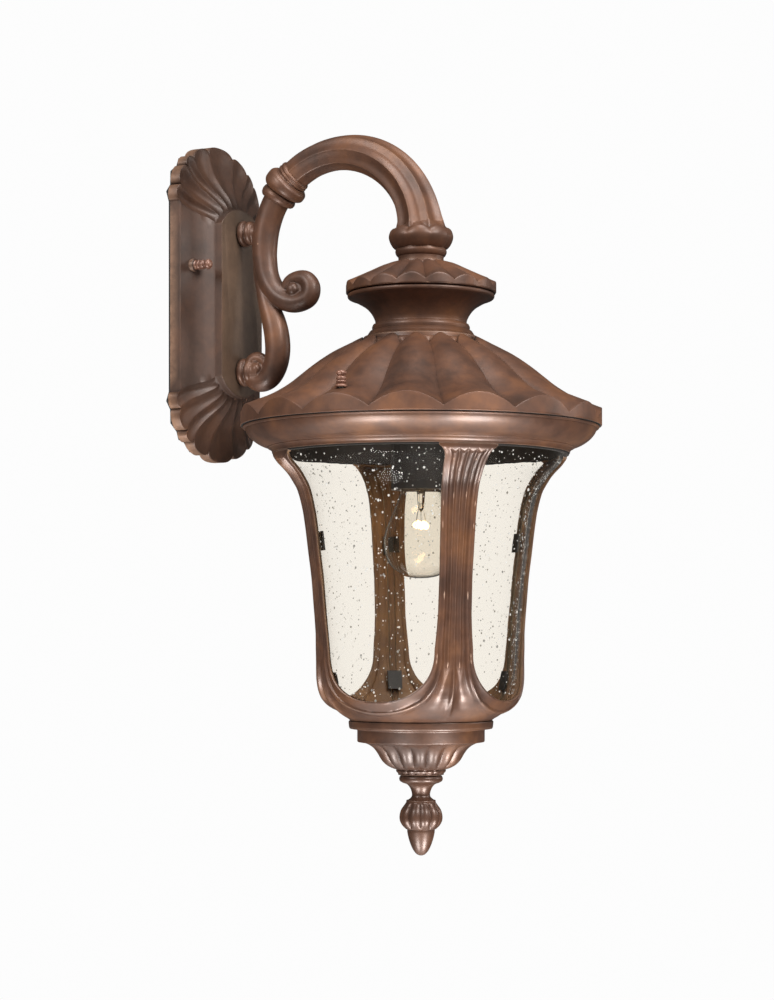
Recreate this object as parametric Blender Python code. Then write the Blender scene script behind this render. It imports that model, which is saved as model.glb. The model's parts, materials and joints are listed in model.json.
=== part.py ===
"""Outdoor wall lantern: a scalloped wall plate, a gooseneck arm on a scrolled bracket, a lobed
roof, and a four-window glass cage that drops off the roof to change the bulb.

The wall is the plane Y = 0 and the lantern stands out toward -Y. The origin is the centre of the
crossbar's rear face. Sizes below are in millimetres and become metres when a mesh is made.
"""

import math

import bmesh
import bpy
from mathutils import Vector

MM = 0.001
GAP = 0.3

# Main places
REACH = 198.5
AXIS_Y = -REACH
PLATE_CENTRE_Z = -26.5
ARM_CENTRE = (72.3, 17.3)
ARM_RADIUS = 72.5
COLLAR_ANGLE = 44.0
UPPER_BOSS_Z = 31.3
LOWER_BOSS_Z = -83.6
STUD_X = 48.0
ROOF_STUD_RADIUS = 131.0
ROOF_LOBES = 16

# Threads
NIPPLE_RADIUS = 4.9
NIPPLE_BORE = 3.6
NIPPLE_HOLE = 5.4
STUD_RADIUS = 2.0
STUD_HOLE = 2.7
BOLT_RADIUS = 3.0
BOLT_HOLE = 3.8
WIRE_RADIUS = 1.0
WIRE_OFFSET = 1.3

# Wall plate
PLATE_HALF_WIDTH = 62.4
PLATE_CUSPS = [(19, 125.5), (41, 117), (51, 109.5), (60.5, 92), (62.4, 77.5)]
PLATE_BULGES = [5.5, 4, 3.5, 5, 5]
PANEL_HALF_WIDTH = 31.5
PANEL_STRAIGHT = 62.7
PANEL_RISE = 15.3
PLATE_SECTION = [
    (1, -32), (1, -25.5), (0.85, -24.3), (0.63, -18.5), (0.45, -14.5), (0.24, -12.5), (0.05, -11.5), (0, -11),
    (0, -1.8), (0.12, -1.8), (0.12, -8), (0.42, -10.5), (0.68, -15.5), (1.12, -21.5), (1.12, -28.3),
]

# Turned profiles as (radius, height above the origin)
CAP_OUTSIDE = [(23.5, -4), (31.1, -7), (42.2, -13.4), (52.6, -16.6), (59.4, -19.8), (60.2, -24),
               (59.8, -29.7)]
CAP_INSIDE = [(56.5, -29.7), (55.5, -24), (50, -20.8), (36, -15), (NIPPLE_HOLE, -9), (NIPPLE_HOLE, -4)]
NECK_OUTSIDE = [(53, -30), (56, -31), (49.8, -36), (43.8, -39), (38.7, -45), (36.3, -51.7), (38.7, -58),
                (43, -64.5)]
NECK_INSIDE = [(39, -64.5), (34, -58), (32.3, -52), (34.5, -45), (39.5, -39.5), (43.5, -36),
               (NIPPLE_HOLE, -34), (NIPPLE_HOLE, -30)]
ROOF_OUTSIDE = [(43, -64.8), (48.6, -67.6), (58.6, -71), (71.7, -77), (81.3, -83.6), (90.1, -90),
                (106.4, -103), (120.7, -112.3), (132.7, -115.5), (140.7, -118.7), (143.9, -123),
                (143.9, -135.5)]
ROOF_INSIDE = [(139.5, -135.5), (139.5, -124), (135, -121.2), (118, -116.8), (103, -105.5), (80, -87.5),
               (66, -79.5), (48, -72.5), (NIPPLE_HOLE, -68.8), (NIPPLE_HOLE, -64.8)]
GALLERY_SECTION = [(112, -135.8), (142, -135.8), (142, -137.3), (137.4, -138.4), (131, -146), (124, -150.5),
                   (119.6, -154), (118, -157), (112, -157)]
CAGE_OUTSIDE = [(118, -157.3), (117.2, -163.3), (109.6, -169.7), (102.4, -179.2), (97.2, -189),
                (93.2, -203), (89.3, -236.6), (85.3, -275), (82.5, -313), (79.3, -341.8), (73.3, -356.2),
                (63, -365.7), (56, -369.5)]
CAGE_WALL = 3.0
BOWL_FOOT = -412.4
FINIAL_SEAT = -412.7
BOWL_OUTSIDE = [(57, -369.8), (57.2, -373), (51, -377.5), (50.6, -385), (42.5, -388.5), (36, -392.5),
                (30.5, -401), (25.5, -405.8), (19.5, -409), (18.5, BOWL_FOOT)]
BOWL_INSIDE = [(BOLT_HOLE, BOWL_FOOT), (BOLT_HOLE, -409.4), (15, -406.5), (22, -403), (26.5, -398.5),
               (31, -391.5), (39, -386.5), (47.3, -382), (47.3, -376), (53, -371.5), (53.5, -369.8)]
FINIAL_OUTSIDE = [(16.4, FINIAL_SEAT), (17.3, -415.2), (15.4, -418), (11, -419.2), (8.4, -423), (7.2, -428),
                  (13.5, -437.5), (16.7, -442), (17.1, -447), (16.3, -452), (12, -456.6), (10.6, -461),
                  (8.4, -468), (5.8, -473), (2.4, -476.4), (0, -477)]

# Cage windows and glass
WINDOW_TOP = -161
WINDOW_SPRING = -313
WINDOW_SIDES = [(64.6, WINDOW_TOP), (65.2, -167), (57.4, -189), (52.7, -237), (49.1, -294),
                (46.4, WINDOW_SPRING)]
WINDOW_DROP = 39.6
GLASS_THICKNESS = 3.0
GLASS_HALF_ANGLE = 43.0
GLASS_BOTTOM = -359.5
CLIP_HEIGHTS = {"upper": -227, "lower": -338}
CLIP_SIZE = (12, 15)

# Gooseneck radii, by angle round the arc and then by height down the axis
NECK_TUBE = [(44.2, 12.2), (55, 12.4), (66, 12.6), (78, 12.7), (90, 12.75), (101, 13.1), (112, 13.5),
             (122, 13.9), (133, 14.2), (143.6, 14.6), (155.8, 15.5), (165, 16), (171.5, 18), (175.5, 20.3),
             (179.1, 25.1)]
CUP = [(14.8, 25.9), (8.9, 23.5), (5.7, 20.7), (2.5, 19.1), (-3.7, 18.2)]

PAINTS = {
    "bronze": ((0.150, 0.070, 0.043), 0.42, 0.85),
    "steel": ((0.62, 0.60, 0.56), 0.35, 1.0),
    "brass": ((0.80, 0.58, 0.27), 0.3, 1.0),
    "glass": ((0.93, 0.91, 0.85), 0.05, 0.0),
    "porcelain": ((0.86, 0.85, 0.80), 0.25, 0.0),
    "rubber": ((0.03, 0.03, 0.03), 0.8, 0.0),
    "black": ((0.02, 0.02, 0.02), 0.5, 0.0),
    "white": ((0.85, 0.85, 0.82), 0.5, 0.0),
    "copper": ((0.75, 0.38, 0.22), 0.35, 1.0),
    "orange": ((0.85, 0.30, 0.05), 0.45, 0.0),
    "tungsten": ((1.0, 0.75, 0.40), 0.4, 0.5),
}


def clear_scene():
    for old in list(bpy.data.objects):
        bpy.data.objects.remove(old, do_unlink=True)


def paint(obj, kind):
    colour, roughness, metallic = PAINTS[kind]
    material = bpy.data.materials.new(obj.name + "_finish")
    material.use_nodes = True
    shader = material.node_tree.nodes["Principled BSDF"]
    shader.inputs["Base Color"].default_value = (*colour, 1.0)
    shader.inputs["Roughness"].default_value = roughness
    shader.inputs["Metallic"].default_value = metallic
    obj.data.materials.append(material)


def empty(name, at):
    obj = bpy.data.objects.new(name, None)
    obj.location = Vector(at) * MM
    obj.empty_display_size = 0.02
    bpy.context.scene.collection.objects.link(obj)
    return obj


def link(obj, kind, origin, parent):
    """Puts an object at its origin, under its body's empty if it has one, and paints it."""
    obj.location = Vector(origin) * MM
    if parent:
        obj.parent = parent
        obj.location -= parent.location
    bpy.context.scene.collection.objects.link(obj)
    paint(obj, kind)
    return obj


def skin(name, rings, kind="bronze", origin=(0, 0, 0), parent=None, around=True, capped=False):
    """Joins rings of points with faces, as a closed tube, and makes the object.

    The rings form a closed loop, unless capped fills the first and the last one instead. Where
    around is False, each ring is open and its two ends are filled, as on a panel that goes only
    part of the way round.
    """
    bm = bmesh.new()
    made = [[bm.verts.new((Vector(p) - Vector(origin)) * MM) for p in ring] for ring in rings]
    count = len(rings[0])
    for first, second in zip(made, made[1:] if capped else made[1:] + made[:1]):
        for i in range(count if around else count - 1):
            j = (i + 1) % count
            bm.faces.new((first[i], first[j], second[j], second[i]))
    if not around:
        bm.faces.new([ring[0] for ring in made])
        bm.faces.new([ring[-1] for ring in made])
    if capped:
        bm.faces.new(made[0])
        bm.faces.new(made[-1])
    bmesh.ops.remove_doubles(bm, verts=bm.verts, dist=1e-6)
    bmesh.ops.delete(bm, geom=[edge for edge in bm.edges if not edge.link_faces], context="EDGES")
    bmesh.ops.recalc_face_normals(bm, faces=bm.faces)
    mesh = bpy.data.meshes.new(name)
    bm.to_mesh(mesh)
    bm.free()
    mesh.shade_smooth()
    mesh.set_sharp_from_angle(angle=math.radians(38))
    return link(bpy.data.objects.new(name, mesh), kind, origin, parent)


def turned(name, profile, at, steps=12, axis="Z", kind="bronze", parent=None, span=None, origin=None):
    """Turns a closed profile of (radius, height) about an axis through the point at.

    A profile may start and end on the axis. With span, in degrees, it turns only between two angles.
    """
    if span:
        angles = [math.radians(span[0] + (span[1] - span[0]) * i / steps) for i in range(steps + 1)]
    else:
        angles = [math.tau * i / steps for i in range(steps)]
    rings = []
    for radius, height in profile:
        ring = []
        for angle in angles:
            across, up = radius * math.cos(angle), radius * math.sin(angle)
            offset = {"Z": (across, up, height), "Y": (across, height, up), "X": (height, across, up)}[axis]
            ring.append(Vector(at) + Vector(offset))
        rings.append(ring)
    return skin(name, rings, kind, origin or at, parent, around=not span)


def tube_ring(centre, direction, radius, sides):
    """A circle of points about a centre in the plane X = 0, square to a direction in that plane."""
    side = Vector((1, 0, 0))
    up = side.cross(direction).normalized()
    turns = [math.tau * i / sides for i in range(sides)]
    return [centre + side * radius * math.cos(t) + up * radius * math.sin(t) for t in turns]


def arm_point(u, z):
    """A point in the plane X = 0, at distance u from the lantern's axis toward the wall."""
    return Vector((0, AXIS_Y + u, z))


def arc_point(angle):
    """The arm's centre line and its direction, at an angle above the horizontal on the wall side."""
    turn = math.radians(angle)
    at = arm_point(ARM_CENTRE[0] + ARM_RADIUS * math.cos(turn), ARM_CENTRE[1] + ARM_RADIUS * math.sin(turn))
    return at, Vector((0, -math.sin(turn), math.cos(turn)))


def swept(name, stations, sides=12, kind="bronze"):
    """A solid tube through stations of (point, direction, radius), with flat ends."""
    rings = [tube_ring(at, along, radius, sides) for at, along, radius in stations]
    return skin(name, rings, kind, capped=True)


def along_points(points):
    """Stations for swept() from (u, z, radius) points, each facing from its neighbour to the next."""
    places = [arm_point(u, z) for u, z, radius in points]
    stations = []
    for i, (u, z, radius) in enumerate(points):
        before, after = places[max(i - 1, 0)], places[min(i + 1, len(points) - 1)]
        stations.append((places[i], (after - before).normalized(), radius))
    return stations


def prism(name, outline, low, high, axis="Z", kind="bronze", at=(0, 0, 0)):
    """Extrudes a closed outline of 2-D points along an axis, between two heights."""

    def place(a, b, height):
        offset = {"Z": (a, b, height), "Y": (a, height, b), "X": (height, a, b)}[axis]
        return Vector(at) + Vector(offset)

    rings = [[place(a, b, height) for a, b in outline] for height in (low, high)]
    return skin(name, rings, kind, capped=True)


def helper(obj):
    obj.hide_render = True
    obj.display_type = "WIRE"
    return obj


def combine(obj, other, operation):
    modifier = obj.modifiers.new(other.name, "BOOLEAN")
    modifier.operation = operation
    modifier.object = helper(other)
    return obj


def cut(obj, *cutters):
    for cutter in cutters:
        combine(obj, cutter, "DIFFERENCE")
    return obj


def join(obj, *others):
    for other in others:
        combine(obj, other, "UNION")
    return obj


def drill(name, at, radius, depth, axis="Z", steps=12):
    """A cylinder centred on a point, as a cutter."""
    half = depth / 2
    profile = [(0, half), (radius, half), (radius, -half), (0, -half)]
    return turned(name, profile, at, steps, axis)


def bulged(start, end, bulge, segments):
    """Points along a circular arc from start to end, which stands out by bulge on the left."""
    a, b = Vector(start), Vector(end)
    chord = b - a
    normal = Vector((-chord.y, chord.x)).normalized()
    half = chord.length / 2
    radius = (half * half + bulge * bulge) / (2 * bulge)
    centre = (a + b) / 2 + normal * (bulge - radius)
    sweep = 2 * math.asin(half / radius)
    points = []
    for i in range(segments):
        turn = sweep * (0.5 - i / segments)
        offset = normal * math.cos(turn) - chord.normalized() * math.sin(turn)
        points.append(centre + offset * radius)
    return points


def plate_pairs(segments=2):
    """Pairs of matching points on the plate's scalloped outline and on its raised panel's outline.

    They go once round, relative to the plate's centre, starting at the upper end of the right side.
    """
    panel_radius = (PANEL_HALF_WIDTH**2 + PANEL_RISE**2) / (2 * PANEL_RISE)
    panel_centre = PANEL_STRAIGHT + PANEL_RISE - panel_radius
    panel_sweep = math.asin(PANEL_HALF_WIDTH / panel_radius)
    cusps = PLATE_CUSPS[::-1] + [(-x, z) for x, z in PLATE_CUSPS]
    bulges = PLATE_BULGES[::-1] + PLATE_BULGES[1:]
    lobes = len(bulges)
    top = []
    for k, bulge in enumerate(bulges):
        for i, point in enumerate(bulged(cusps[k], cusps[k + 1], -bulge, segments)):
            turn = panel_sweep * (1 - 2 * (k + i / segments) / lobes)
            panel = Vector((panel_radius * math.sin(turn), panel_centre + panel_radius * math.cos(turn)))
            top.append((point, panel))
    for outer, inner in ((77.5, PANEL_STRAIGHT), (40, 32), (0, 0), (-40, -32)):
        top.append((Vector((-PLATE_HALF_WIDTH, outer)), Vector((-PANEL_HALF_WIDTH, inner))))
    return top + [(-outer, -inner) for outer, inner in top]


def plate_ring(pairs, share, y):
    """One ring between the outline, at share 0, and the panel, at share 1."""
    ring = []
    for outer, inner in pairs:
        point = outer.lerp(inner, share)
        ring.append(Vector((point.x, y, point.y + PLATE_CENTRE_Z)))
    return ring


def hex_nut(name, at, across_flats, height, bore, axis, kind="steel"):
    corner = across_flats / math.sqrt(3)
    profile = [(bore, height), (corner, height), (corner, 0), (bore, 0)]
    return turned(name, profile, at, 6, axis, kind)


def cap_nut(name, at, axis, length, bore_depth, parent=None):
    """A decorative cap nut: a base flange, a straight body, a groove and a ball end.

    Its base is at the point at, and a negative length turns it toward the axis's lower end.
    """
    size = abs(length) / 14
    sign = math.copysign(1, length)
    shape = [(4.8, 0), (4.8, 1.5), (3.5, 2.6), (3.9, 3.6), (3.9, 8.2), (3.0, 9), (4, 10.2), (4.4, 11.7),
             (2.9, 13.4), (0, 14)]
    profile = [(radius * size, height * size * sign) for radius, height in shape]
    profile += [(0, bore_depth * sign), (2.6, bore_depth * sign), (2.6, 0)]
    return turned(name, profile, at, 8, axis, parent=parent)


def cage_radius(z):
    """The cage wall's outer radius at a height."""
    for (r0, z0), (r1, z1) in zip(CAGE_OUTSIDE, CAGE_OUTSIDE[1:]):
        if z1 <= z <= z0:
            return r0 + (r1 - r0) * (z0 - z) / (z0 - z1)
    return CAGE_OUTSIDE[-1][0]


def smooth_route(points, count):
    """Points read evenly, by share of each span, from a smooth curve through a route's points."""
    route = [Vector(p) for p in points]
    route = [2 * route[0] - route[1]] + route + [2 * route[-1] - route[-2]]
    spans = len(route) - 3
    out = []
    for k in range(count):
        place = spans * k / (count - 1)
        i = min(int(place), spans - 1)
        t = place - i
        p0, p1, p2, p3 = route[i : i + 4]
        out.append(
            0.5 * (2 * p1 + (p2 - p0) * t + (2 * p0 - 5 * p1 + 4 * p2 - p3) * t**2
                   + (3 * p1 - p0 - 3 * p2 + p3) * t**3)
        )
    return out


def wire(name, points, radius, kind, sides=2, parent=None, origin=(0, 0, 0)):
    curve = bpy.data.curves.new(name, "CURVE")
    curve.dimensions = "3D"
    curve.bevel_depth = radius * MM
    curve.bevel_resolution = sides
    curve.use_fill_caps = True
    spline = curve.splines.new("POLY")
    spline.points.add(len(points) - 1)
    for slot, point in zip(spline.points, points):
        slot.co = (*((Vector(point) - Vector(origin)) * MM), 1)
    return link(bpy.data.objects.new(name, curve), kind, origin, parent)


def make_wall_fixings():
    bar = prism("crossbar", [(-58, -10), (58, -10), (58, 10), (-58, 10)], -2.5, 0, "Y", "steel")
    for side in (-1, 1):
        word = "left" if side < 0 else "right"
        cut(bar, drill("tapped_hole_" + word, (side * STUD_X, -1.25, 0), STUD_HOLE, 8, "Y"))
        slot = [(side * 28, -2.5), (side * 42, -2.5), (side * 42, 2.5), (side * 28, 2.5)]
        cut(bar, prism("screw_slot_" + word, slot, -6, 4, "Y"))
        stud = [(0, -0.2), (STUD_RADIUS, -0.2), (STUD_RADIUS, -29), (0, -29)]
        turned("mounting_stud_" + word, stud, (side * STUD_X, 0, 0), 8, "Y", "steel")
        hex_nut("stud_nut_" + word, (side * STUD_X, -5.8, 0), 8, 3, STUD_HOLE + 0.2, "Y")
        pivot = empty("plate_finial_axis_" + word, (side * STUD_X, -15, 0))
        cap_nut("plate_finial_" + word, (side * STUD_X, -15, 0), "Y", -18.5, 14.6, pivot)
    cut(bar, drill("ground_hole", (18, -1.25, 0), STUD_HOLE, 8, "Y"))
    screw = [(0, -0.2), (STUD_RADIUS, -0.2), (STUD_RADIUS, -2.8), (3.8, -2.8), (3.8, -4.6), (2.6, -5.4),
             (0, -5.4)]
    turned("ground_screw", screw, (18, 0, 0), 10, "Y", "brass")


def make_back_plate():
    pairs = plate_pairs()
    plate = skin("back_plate", [plate_ring(pairs, share, y) for share, y in PLATE_SECTION], capped=True)
    for side in (-1, 1):
        word = "left" if side < 0 else "right"
        cut(plate, drill("nut_recess_" + word, (side * STUD_X, -20.3, 0), 6.8, 12, "Y", 14))
        join(plate, drill("nut_seat_" + word, (side * STUD_X, -13.2, 0), 5.8, 3, "Y"))
        cut(plate, drill("plate_stud_hole_" + word, (side * STUD_X, -12.3, 0), STUD_HOLE, 17, "Y", 10))
    cut(plate, drill("plate_wire_hole", (0, -30, UPPER_BOSS_Z), NIPPLE_HOLE, 12, "Y"))
    cut(plate, drill("plate_screw_hole", (0, -30, LOWER_BOSS_Z), 3.2, 12, "Y", 8))
    gasket = [plate_ring(pairs, share, y) for share, y in ((0.02, -1.5), (0.02, 0), (0.13, 0), (0.13, -1.5))]
    skin("wall_gasket", gasket, "rubber")


def bracket_arm():
    """The bracket's own part of the arm, from the collar down into the first scroll."""
    stations = []
    for angle, radius in ((43.7, 12.2), (38, 12.2), (32, 12), (27, 10.6), (14, 10.4), (0, 10.2)):
        at, along = arc_point(angle)
        stations.append((at, -along, radius))
    lower = [(144.6, 8, 10), (143, -2, 9.8), (139, -12, 9.5), (132, -21, 9.2), (124, -27, 9), (115, -29, 8)]
    return stations + along_points([(144.8, 17, 10)] + lower)[1:]


def scroll_disc(name, u, z, radius, half_width, eye):
    section = [(0, -eye), (4, -eye), (6, -half_width), (radius * 0.75, -half_width * 1.05),
               (radius, -half_width * 0.5), (radius, half_width * 0.5), (radius * 0.75, half_width * 1.05),
               (6, half_width), (4, eye), (0, eye)]
    return turned(name, section, arm_point(u, z), 14, "X")


def boss(name, z, radius, depth):
    """A turned foot that stands on the wall plate's panel, with two rings and a groove."""
    face = -REACH + 166.2
    section = [(0, 0), (radius, 0), (radius, -4.6), (radius - 2, -5.8), (radius - 0.7, -7.5),
               (radius - 0.7, -10.5), (radius - 2.5, -12.5), (radius - 3, -depth), (0, -depth)]
    return turned(name, section, (0, face, z), 14, "Y")


def make_bracket():
    strand = [(149.4, 16, 4.5), (149.6, 2, 5.2), (147, -12, 5.8), (142.4, -26, 7.4), (137, -39, 9.4),
              (133.2, -54, 10.3), (132.3, -68, 10.3), (134.5, -80, 9.8), (140, -89, 8.6), (147, -92, 7.5)]
    bracket = swept("scroll_bracket", bracket_arm())
    join(bracket, swept("s_strand", along_points(strand)))
    join(bracket, scroll_disc("upper_scroll", 112, -20.2, 16.4, 7.6, 12))
    join(bracket, scroll_disc("lower_scroll", 148.6, -83.6, 16, 7.2, 10.5))
    join(bracket, boss("upper_boss", UPPER_BOSS_Z, 10.4, 22))
    join(bracket, boss("lower_boss", LOWER_BOSS_Z, 11.4, 16))
    cut(bracket, drill("upper_boss_bore", arm_point(158, UPPER_BOSS_Z), NIPPLE_HOLE, 22, "Y"))
    wire_bore = [(152, 31.3, 4), (148.2, 31.6, 4), (144.6, 34, 4), (142.2, 38.5, 4)]
    stations = along_points(wire_bore)[:-1]
    for angle in (18, 27, 36, 46):
        at, along = arc_point(angle)
        stations.append((at, along, 4.6))
    cut(bracket, swept("wire_bore", stations))
    cut(bracket, drill("arm_screw_bore", arm_point(160, LOWER_BOSS_Z), 3.2, 32, "Y", 8))

    nipple = [(NIPPLE_BORE, -22), (NIPPLE_RADIUS, -22), (NIPPLE_RADIUS, -50), (NIPPLE_BORE, -50)]
    turned("arm_nipple", nipple[::-1], (0, 0, UPPER_BOSS_Z), 12, "Y", "steel")
    hex_nut("arm_nipple_nut", (0, -27.8, UPPER_BOSS_Z), 16, 4, 6.2, "Y")
    screw = [(0, -25.2), (5, -25.2), (5, -28), (2.6, -28), (2.6, -52), (0, -52)]
    turned("arm_screw", screw, (0, 0, LOWER_BOSS_Z), 8, "Y", "steel")


def make_collar():
    section = [(-14.5, 14), (-12.5, 14.6), (-8.5, 14.6), (-6.5, 14), (-5, 17), (-3, 17.9), (3, 17.9), (5, 17),
               (6.5, 14), (13, 14)]
    bore = 13.0
    rings = []
    for offset, radius in section + [(offset, bore) for offset in (13, 6.5, 0, -7, -14.5)]:
        at, along = arc_point(COLLAR_ANGLE + math.degrees(offset / ARM_RADIUS))
        rings.append(tube_ring(at, along, radius, 12))
    skin("arm_collar", rings)


def make_gooseneck():
    down = Vector((0, 0, -1))
    outside = [(*arc_point(angle), radius) for angle, radius in NECK_TUBE]
    outside += [(arm_point(0, z), down, radius) for z, radius in CUP]
    rings = [tube_ring(at, along, radius, 12) for at, along, radius in outside]
    rings += [tube_ring(at, along, NIPPLE_HOLE, 12) for at, along, radius in reversed(outside)]
    skin("gooseneck", rings)


def lobed(profile, valley):
    """Rings for a lobed shell: a point on each lobe's crown and one in each valley."""
    rings = []
    for radius, height in profile:
        share = max(0.0, (radius - 45) / (144 - 45))
        ring = []
        for i in range(2 * ROOF_LOBES):
            turn = math.tau * i / (2 * ROOF_LOBES)
            reach = radius - valley * share * (i % 2)
            ring.append(Vector((reach * math.cos(turn), AXIS_Y + reach * math.sin(turn), height)))
        rings.append(ring)
    return rings


def make_roof_stack():
    at = (0, AXIS_Y, 0)
    turned("upper_cap", CAP_OUTSIDE + CAP_INSIDE, at, 20)
    turned("neck", NECK_OUTSIDE + NECK_INSIDE, at, 16)
    roof = skin("roof", lobed(ROOF_OUTSIDE, 3.0) + lobed(ROOF_INSIDE, 3.0))
    nipple = [(NIPPLE_RADIUS, 8), (NIPPLE_RADIUS, -127), (NIPPLE_BORE, -127), (NIPPLE_BORE, 8)]
    turned("stem_nipple", nipple, at, 12, kind="steel")
    hex_nut("roof_lock_nut", (0, AXIS_Y, -74.2), 18, 4.3, 6.2, "Z")
    for side in (-1, 1):
        word = "left" if side < 0 else "right"
        x = side * ROOF_STUD_RADIUS
        cut(roof, drill("nut_seat_cut_" + word, (x, AXIS_Y, -111.4), 5.6, 10))
        cut(roof, drill("roof_stud_hole_" + word, (x, AXIS_Y, -118), STUD_HOLE, 16))
        pivot = empty("roof_finial_axis_" + word, (x, AXIS_Y, -116.1))
        cap_nut("roof_finial_" + word, (x, AXIS_Y, -116.1), "Z", 13.8, 7.8, pivot)


def make_socket():
    at = (0, AXIS_Y, 0)
    cup = [(20, -120), (24, -124), (24, -185.6), (21.5, -185.6), (21.5, -126), (19, -123.5),
           (NIPPLE_HOLE, -123.5), (NIPPLE_HOLE, -120)]
    turned("socket_cup", cup, at, 20)
    body = [(0, -138), (20.5, -138), (20.5, -172), (15.2, -172), (15.2, -143.8), (0, -143.8)]
    turned("socket_body", body, at, 16, kind="porcelain")
    shell = [(14.7, -146), (14.7, -171.5), (14, -171.5), (14, -146)]
    turned("socket_shell", shell, at, 16, kind="brass")
    contact = [(0, -144.1), (3.5, -144.1), (3.5, -145.4), (0, -145.4)]
    turned("socket_contact", contact, at, 8, kind="brass")


def make_bulb():
    seat = (0, AXIS_Y, -145.7)
    pivot = empty("bulb_axis", seat)
    at = (0, AXIS_Y, 0)
    base = [(0, -145.7), (4, -145.7), (5, -148), (12.4, -150.5), (13.1, -153), (13.1, -171), (12, -172.5),
            (0, -172.5)]
    turned("bulb_base", base, at, 16, kind="brass", parent=pivot, origin=seat)
    outside = [(12.8, -172.8), (16.7, -187), (21.5, -201), (28, -215), (30, -227), (28.2, -238),
               (22, -248.5), (12, -254.7), (0, -256)]
    wall = 0.9
    inside = [(max(radius - wall, 0), height + (wall if height < -240 else 0)) for radius, height in outside]
    turned("bulb_glass", outside + inside[::-1], at, 12, kind="glass", parent=pivot, origin=seat)
    stem = [(0, -172.8), (6, -172.8), (4, -182), (2.4, -200), (0, -204)]
    turned("bulb_stem", stem, at, 8, kind="glass", parent=pivot, origin=seat)
    leads = [(-4, -190), (-9, -214), (-5, -217), (0, -212), (5, -217), (9, -214), (4, -190)]
    points = [(x, AXIS_Y, z) for x, z in leads]
    wire("bulb_filament", points, 0.4, "tungsten", 1, pivot, seat)


def window_outline():
    right = [(half, z) for half, z in WINDOW_SIDES]
    foot_half = right[-1][0]
    steps = 8
    foot = []
    for i in range(1, steps):
        turn = math.pi * i / steps
        foot.append((foot_half * math.cos(turn), WINDOW_SPRING - WINDOW_DROP * math.sin(turn)))
    left = [(-half, z) for half, z in reversed(right)]
    return right + foot + left


def make_cage():
    pivot = empty("cage_slide", (0, AXIS_Y, CAGE_OUTSIDE[0][1]))
    seat = (0, AXIS_Y, CAGE_OUTSIDE[0][1])
    at = (0, AXIS_Y, 0)
    inside = [(radius - CAGE_WALL, min(height + 0.02 * CAGE_WALL, CAGE_OUTSIDE[0][1]))
              for radius, height in CAGE_OUTSIDE[:-2]]
    floor = [(59, -366.3), (BOLT_HOLE, -366.3), (BOLT_HOLE, -369.5)]
    walls = CAGE_OUTSIDE + floor[::-1] + inside[::-1]
    frame = turned("cage_frame", walls, at, 32, parent=pivot, origin=seat)
    cut(frame, prism("window_cut_x", window_outline(), -140, 140, "X", at=(0, AXIS_Y, 0)))
    cut(frame, prism("window_cut_y", window_outline(), -140, 140, "Y", at=(0, AXIS_Y, 0)))

    gallery = turned("gallery_ring", GALLERY_SECTION, at, 32, parent=pivot, origin=seat)
    for side in (-1, 1):
        word = "left" if side < 0 else "right"
        x = side * ROOF_STUD_RADIUS
        cut(gallery, drill("gallery_stud_hole_" + word, (x, AXIS_Y, -138), STUD_HOLE, 10))
        stud = [(0, -109), (STUD_RADIUS, -109), (STUD_RADIUS, -142.5), (0, -142.5)]
        turned("cage_stud_" + word, stud, (x, AXIS_Y, 0), 8, kind="steel", parent=pivot)

    heights = [WINDOW_TOP + 1, -169.7, -179.2, -189, -203, -236.6, -313, -341.8, GLASS_BOTTOM]
    outer = [(cage_radius(z) - CAGE_WALL - 1.2, z) for z in heights]
    inner = [(radius - GLASS_THICKNESS, z) for radius, z in outer]
    for number, name in enumerate(("right", "rear", "left", "front")):
        middle = 90 * number
        span = (middle - GLASS_HALF_ANGLE, middle + GLASS_HALF_ANGLE)
        pane = outer + inner[::-1]
        turned("glass_panel_" + name, pane, at, 6, kind="glass", parent=pivot, span=span, origin=seat)
    for number, name in enumerate(("right_rear", "left_rear", "left_front", "right_front")):
        for level, z in CLIP_HEIGHTS.items():
            make_clip(f"glass_clip_{name}_{level}", 45 + 90 * number, z, pivot, seat)

    turned("bottom_bowl", BOWL_OUTSIDE + BOWL_INSIDE, at, 16, parent=pivot, origin=seat)
    bolt = [(0, -363), (6, -363), (6, -366), (BOLT_RADIUS, -366), (BOLT_RADIUS, -455), (0, -455)]
    turned("finial_bolt", bolt, at, 8, kind="steel", parent=pivot, origin=seat)
    finial_pivot = empty("bottom_finial_axis", (0, AXIS_Y, FINIAL_SEAT))
    finial = FINIAL_OUTSIDE + [(0, -456), (BOLT_HOLE, -456), (BOLT_HOLE, FINIAL_SEAT)]
    turned("bottom_finial", finial, at, 16, parent=finial_pivot, origin=(0, AXIS_Y, FINIAL_SEAT))


def make_clip(name, angle, z, parent, origin):
    """A T-shaped spring clip: its tab holds two neighbouring panes, and its stem reaches the post."""
    width, height = CLIP_SIZE
    turn = math.radians(angle)
    out = Vector((math.cos(turn), math.sin(turn), 0))
    along = Vector((-math.sin(turn), math.cos(turn), 0))
    rings = []
    for level in (z - height / 2, z + height / 2):
        frame_inside = cage_radius(level) - CAGE_WALL - 0.6
        tab_out = frame_inside - GLASS_THICKNESS - 1.7
        tab_in = tab_out - 1.4
        shape = [(-width / 2, tab_in), (width / 2, tab_in), (width / 2, tab_out), (1.5, tab_out),
                 (1.5, frame_inside), (-1.5, frame_inside), (-1.5, tab_out), (-width / 2, tab_out)]
        rings.append([Vector((0, AXIS_Y, level)) + along * a + out * b for a, b in shape])
    skin(name, rings, "black", origin, parent, capped=True)


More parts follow.
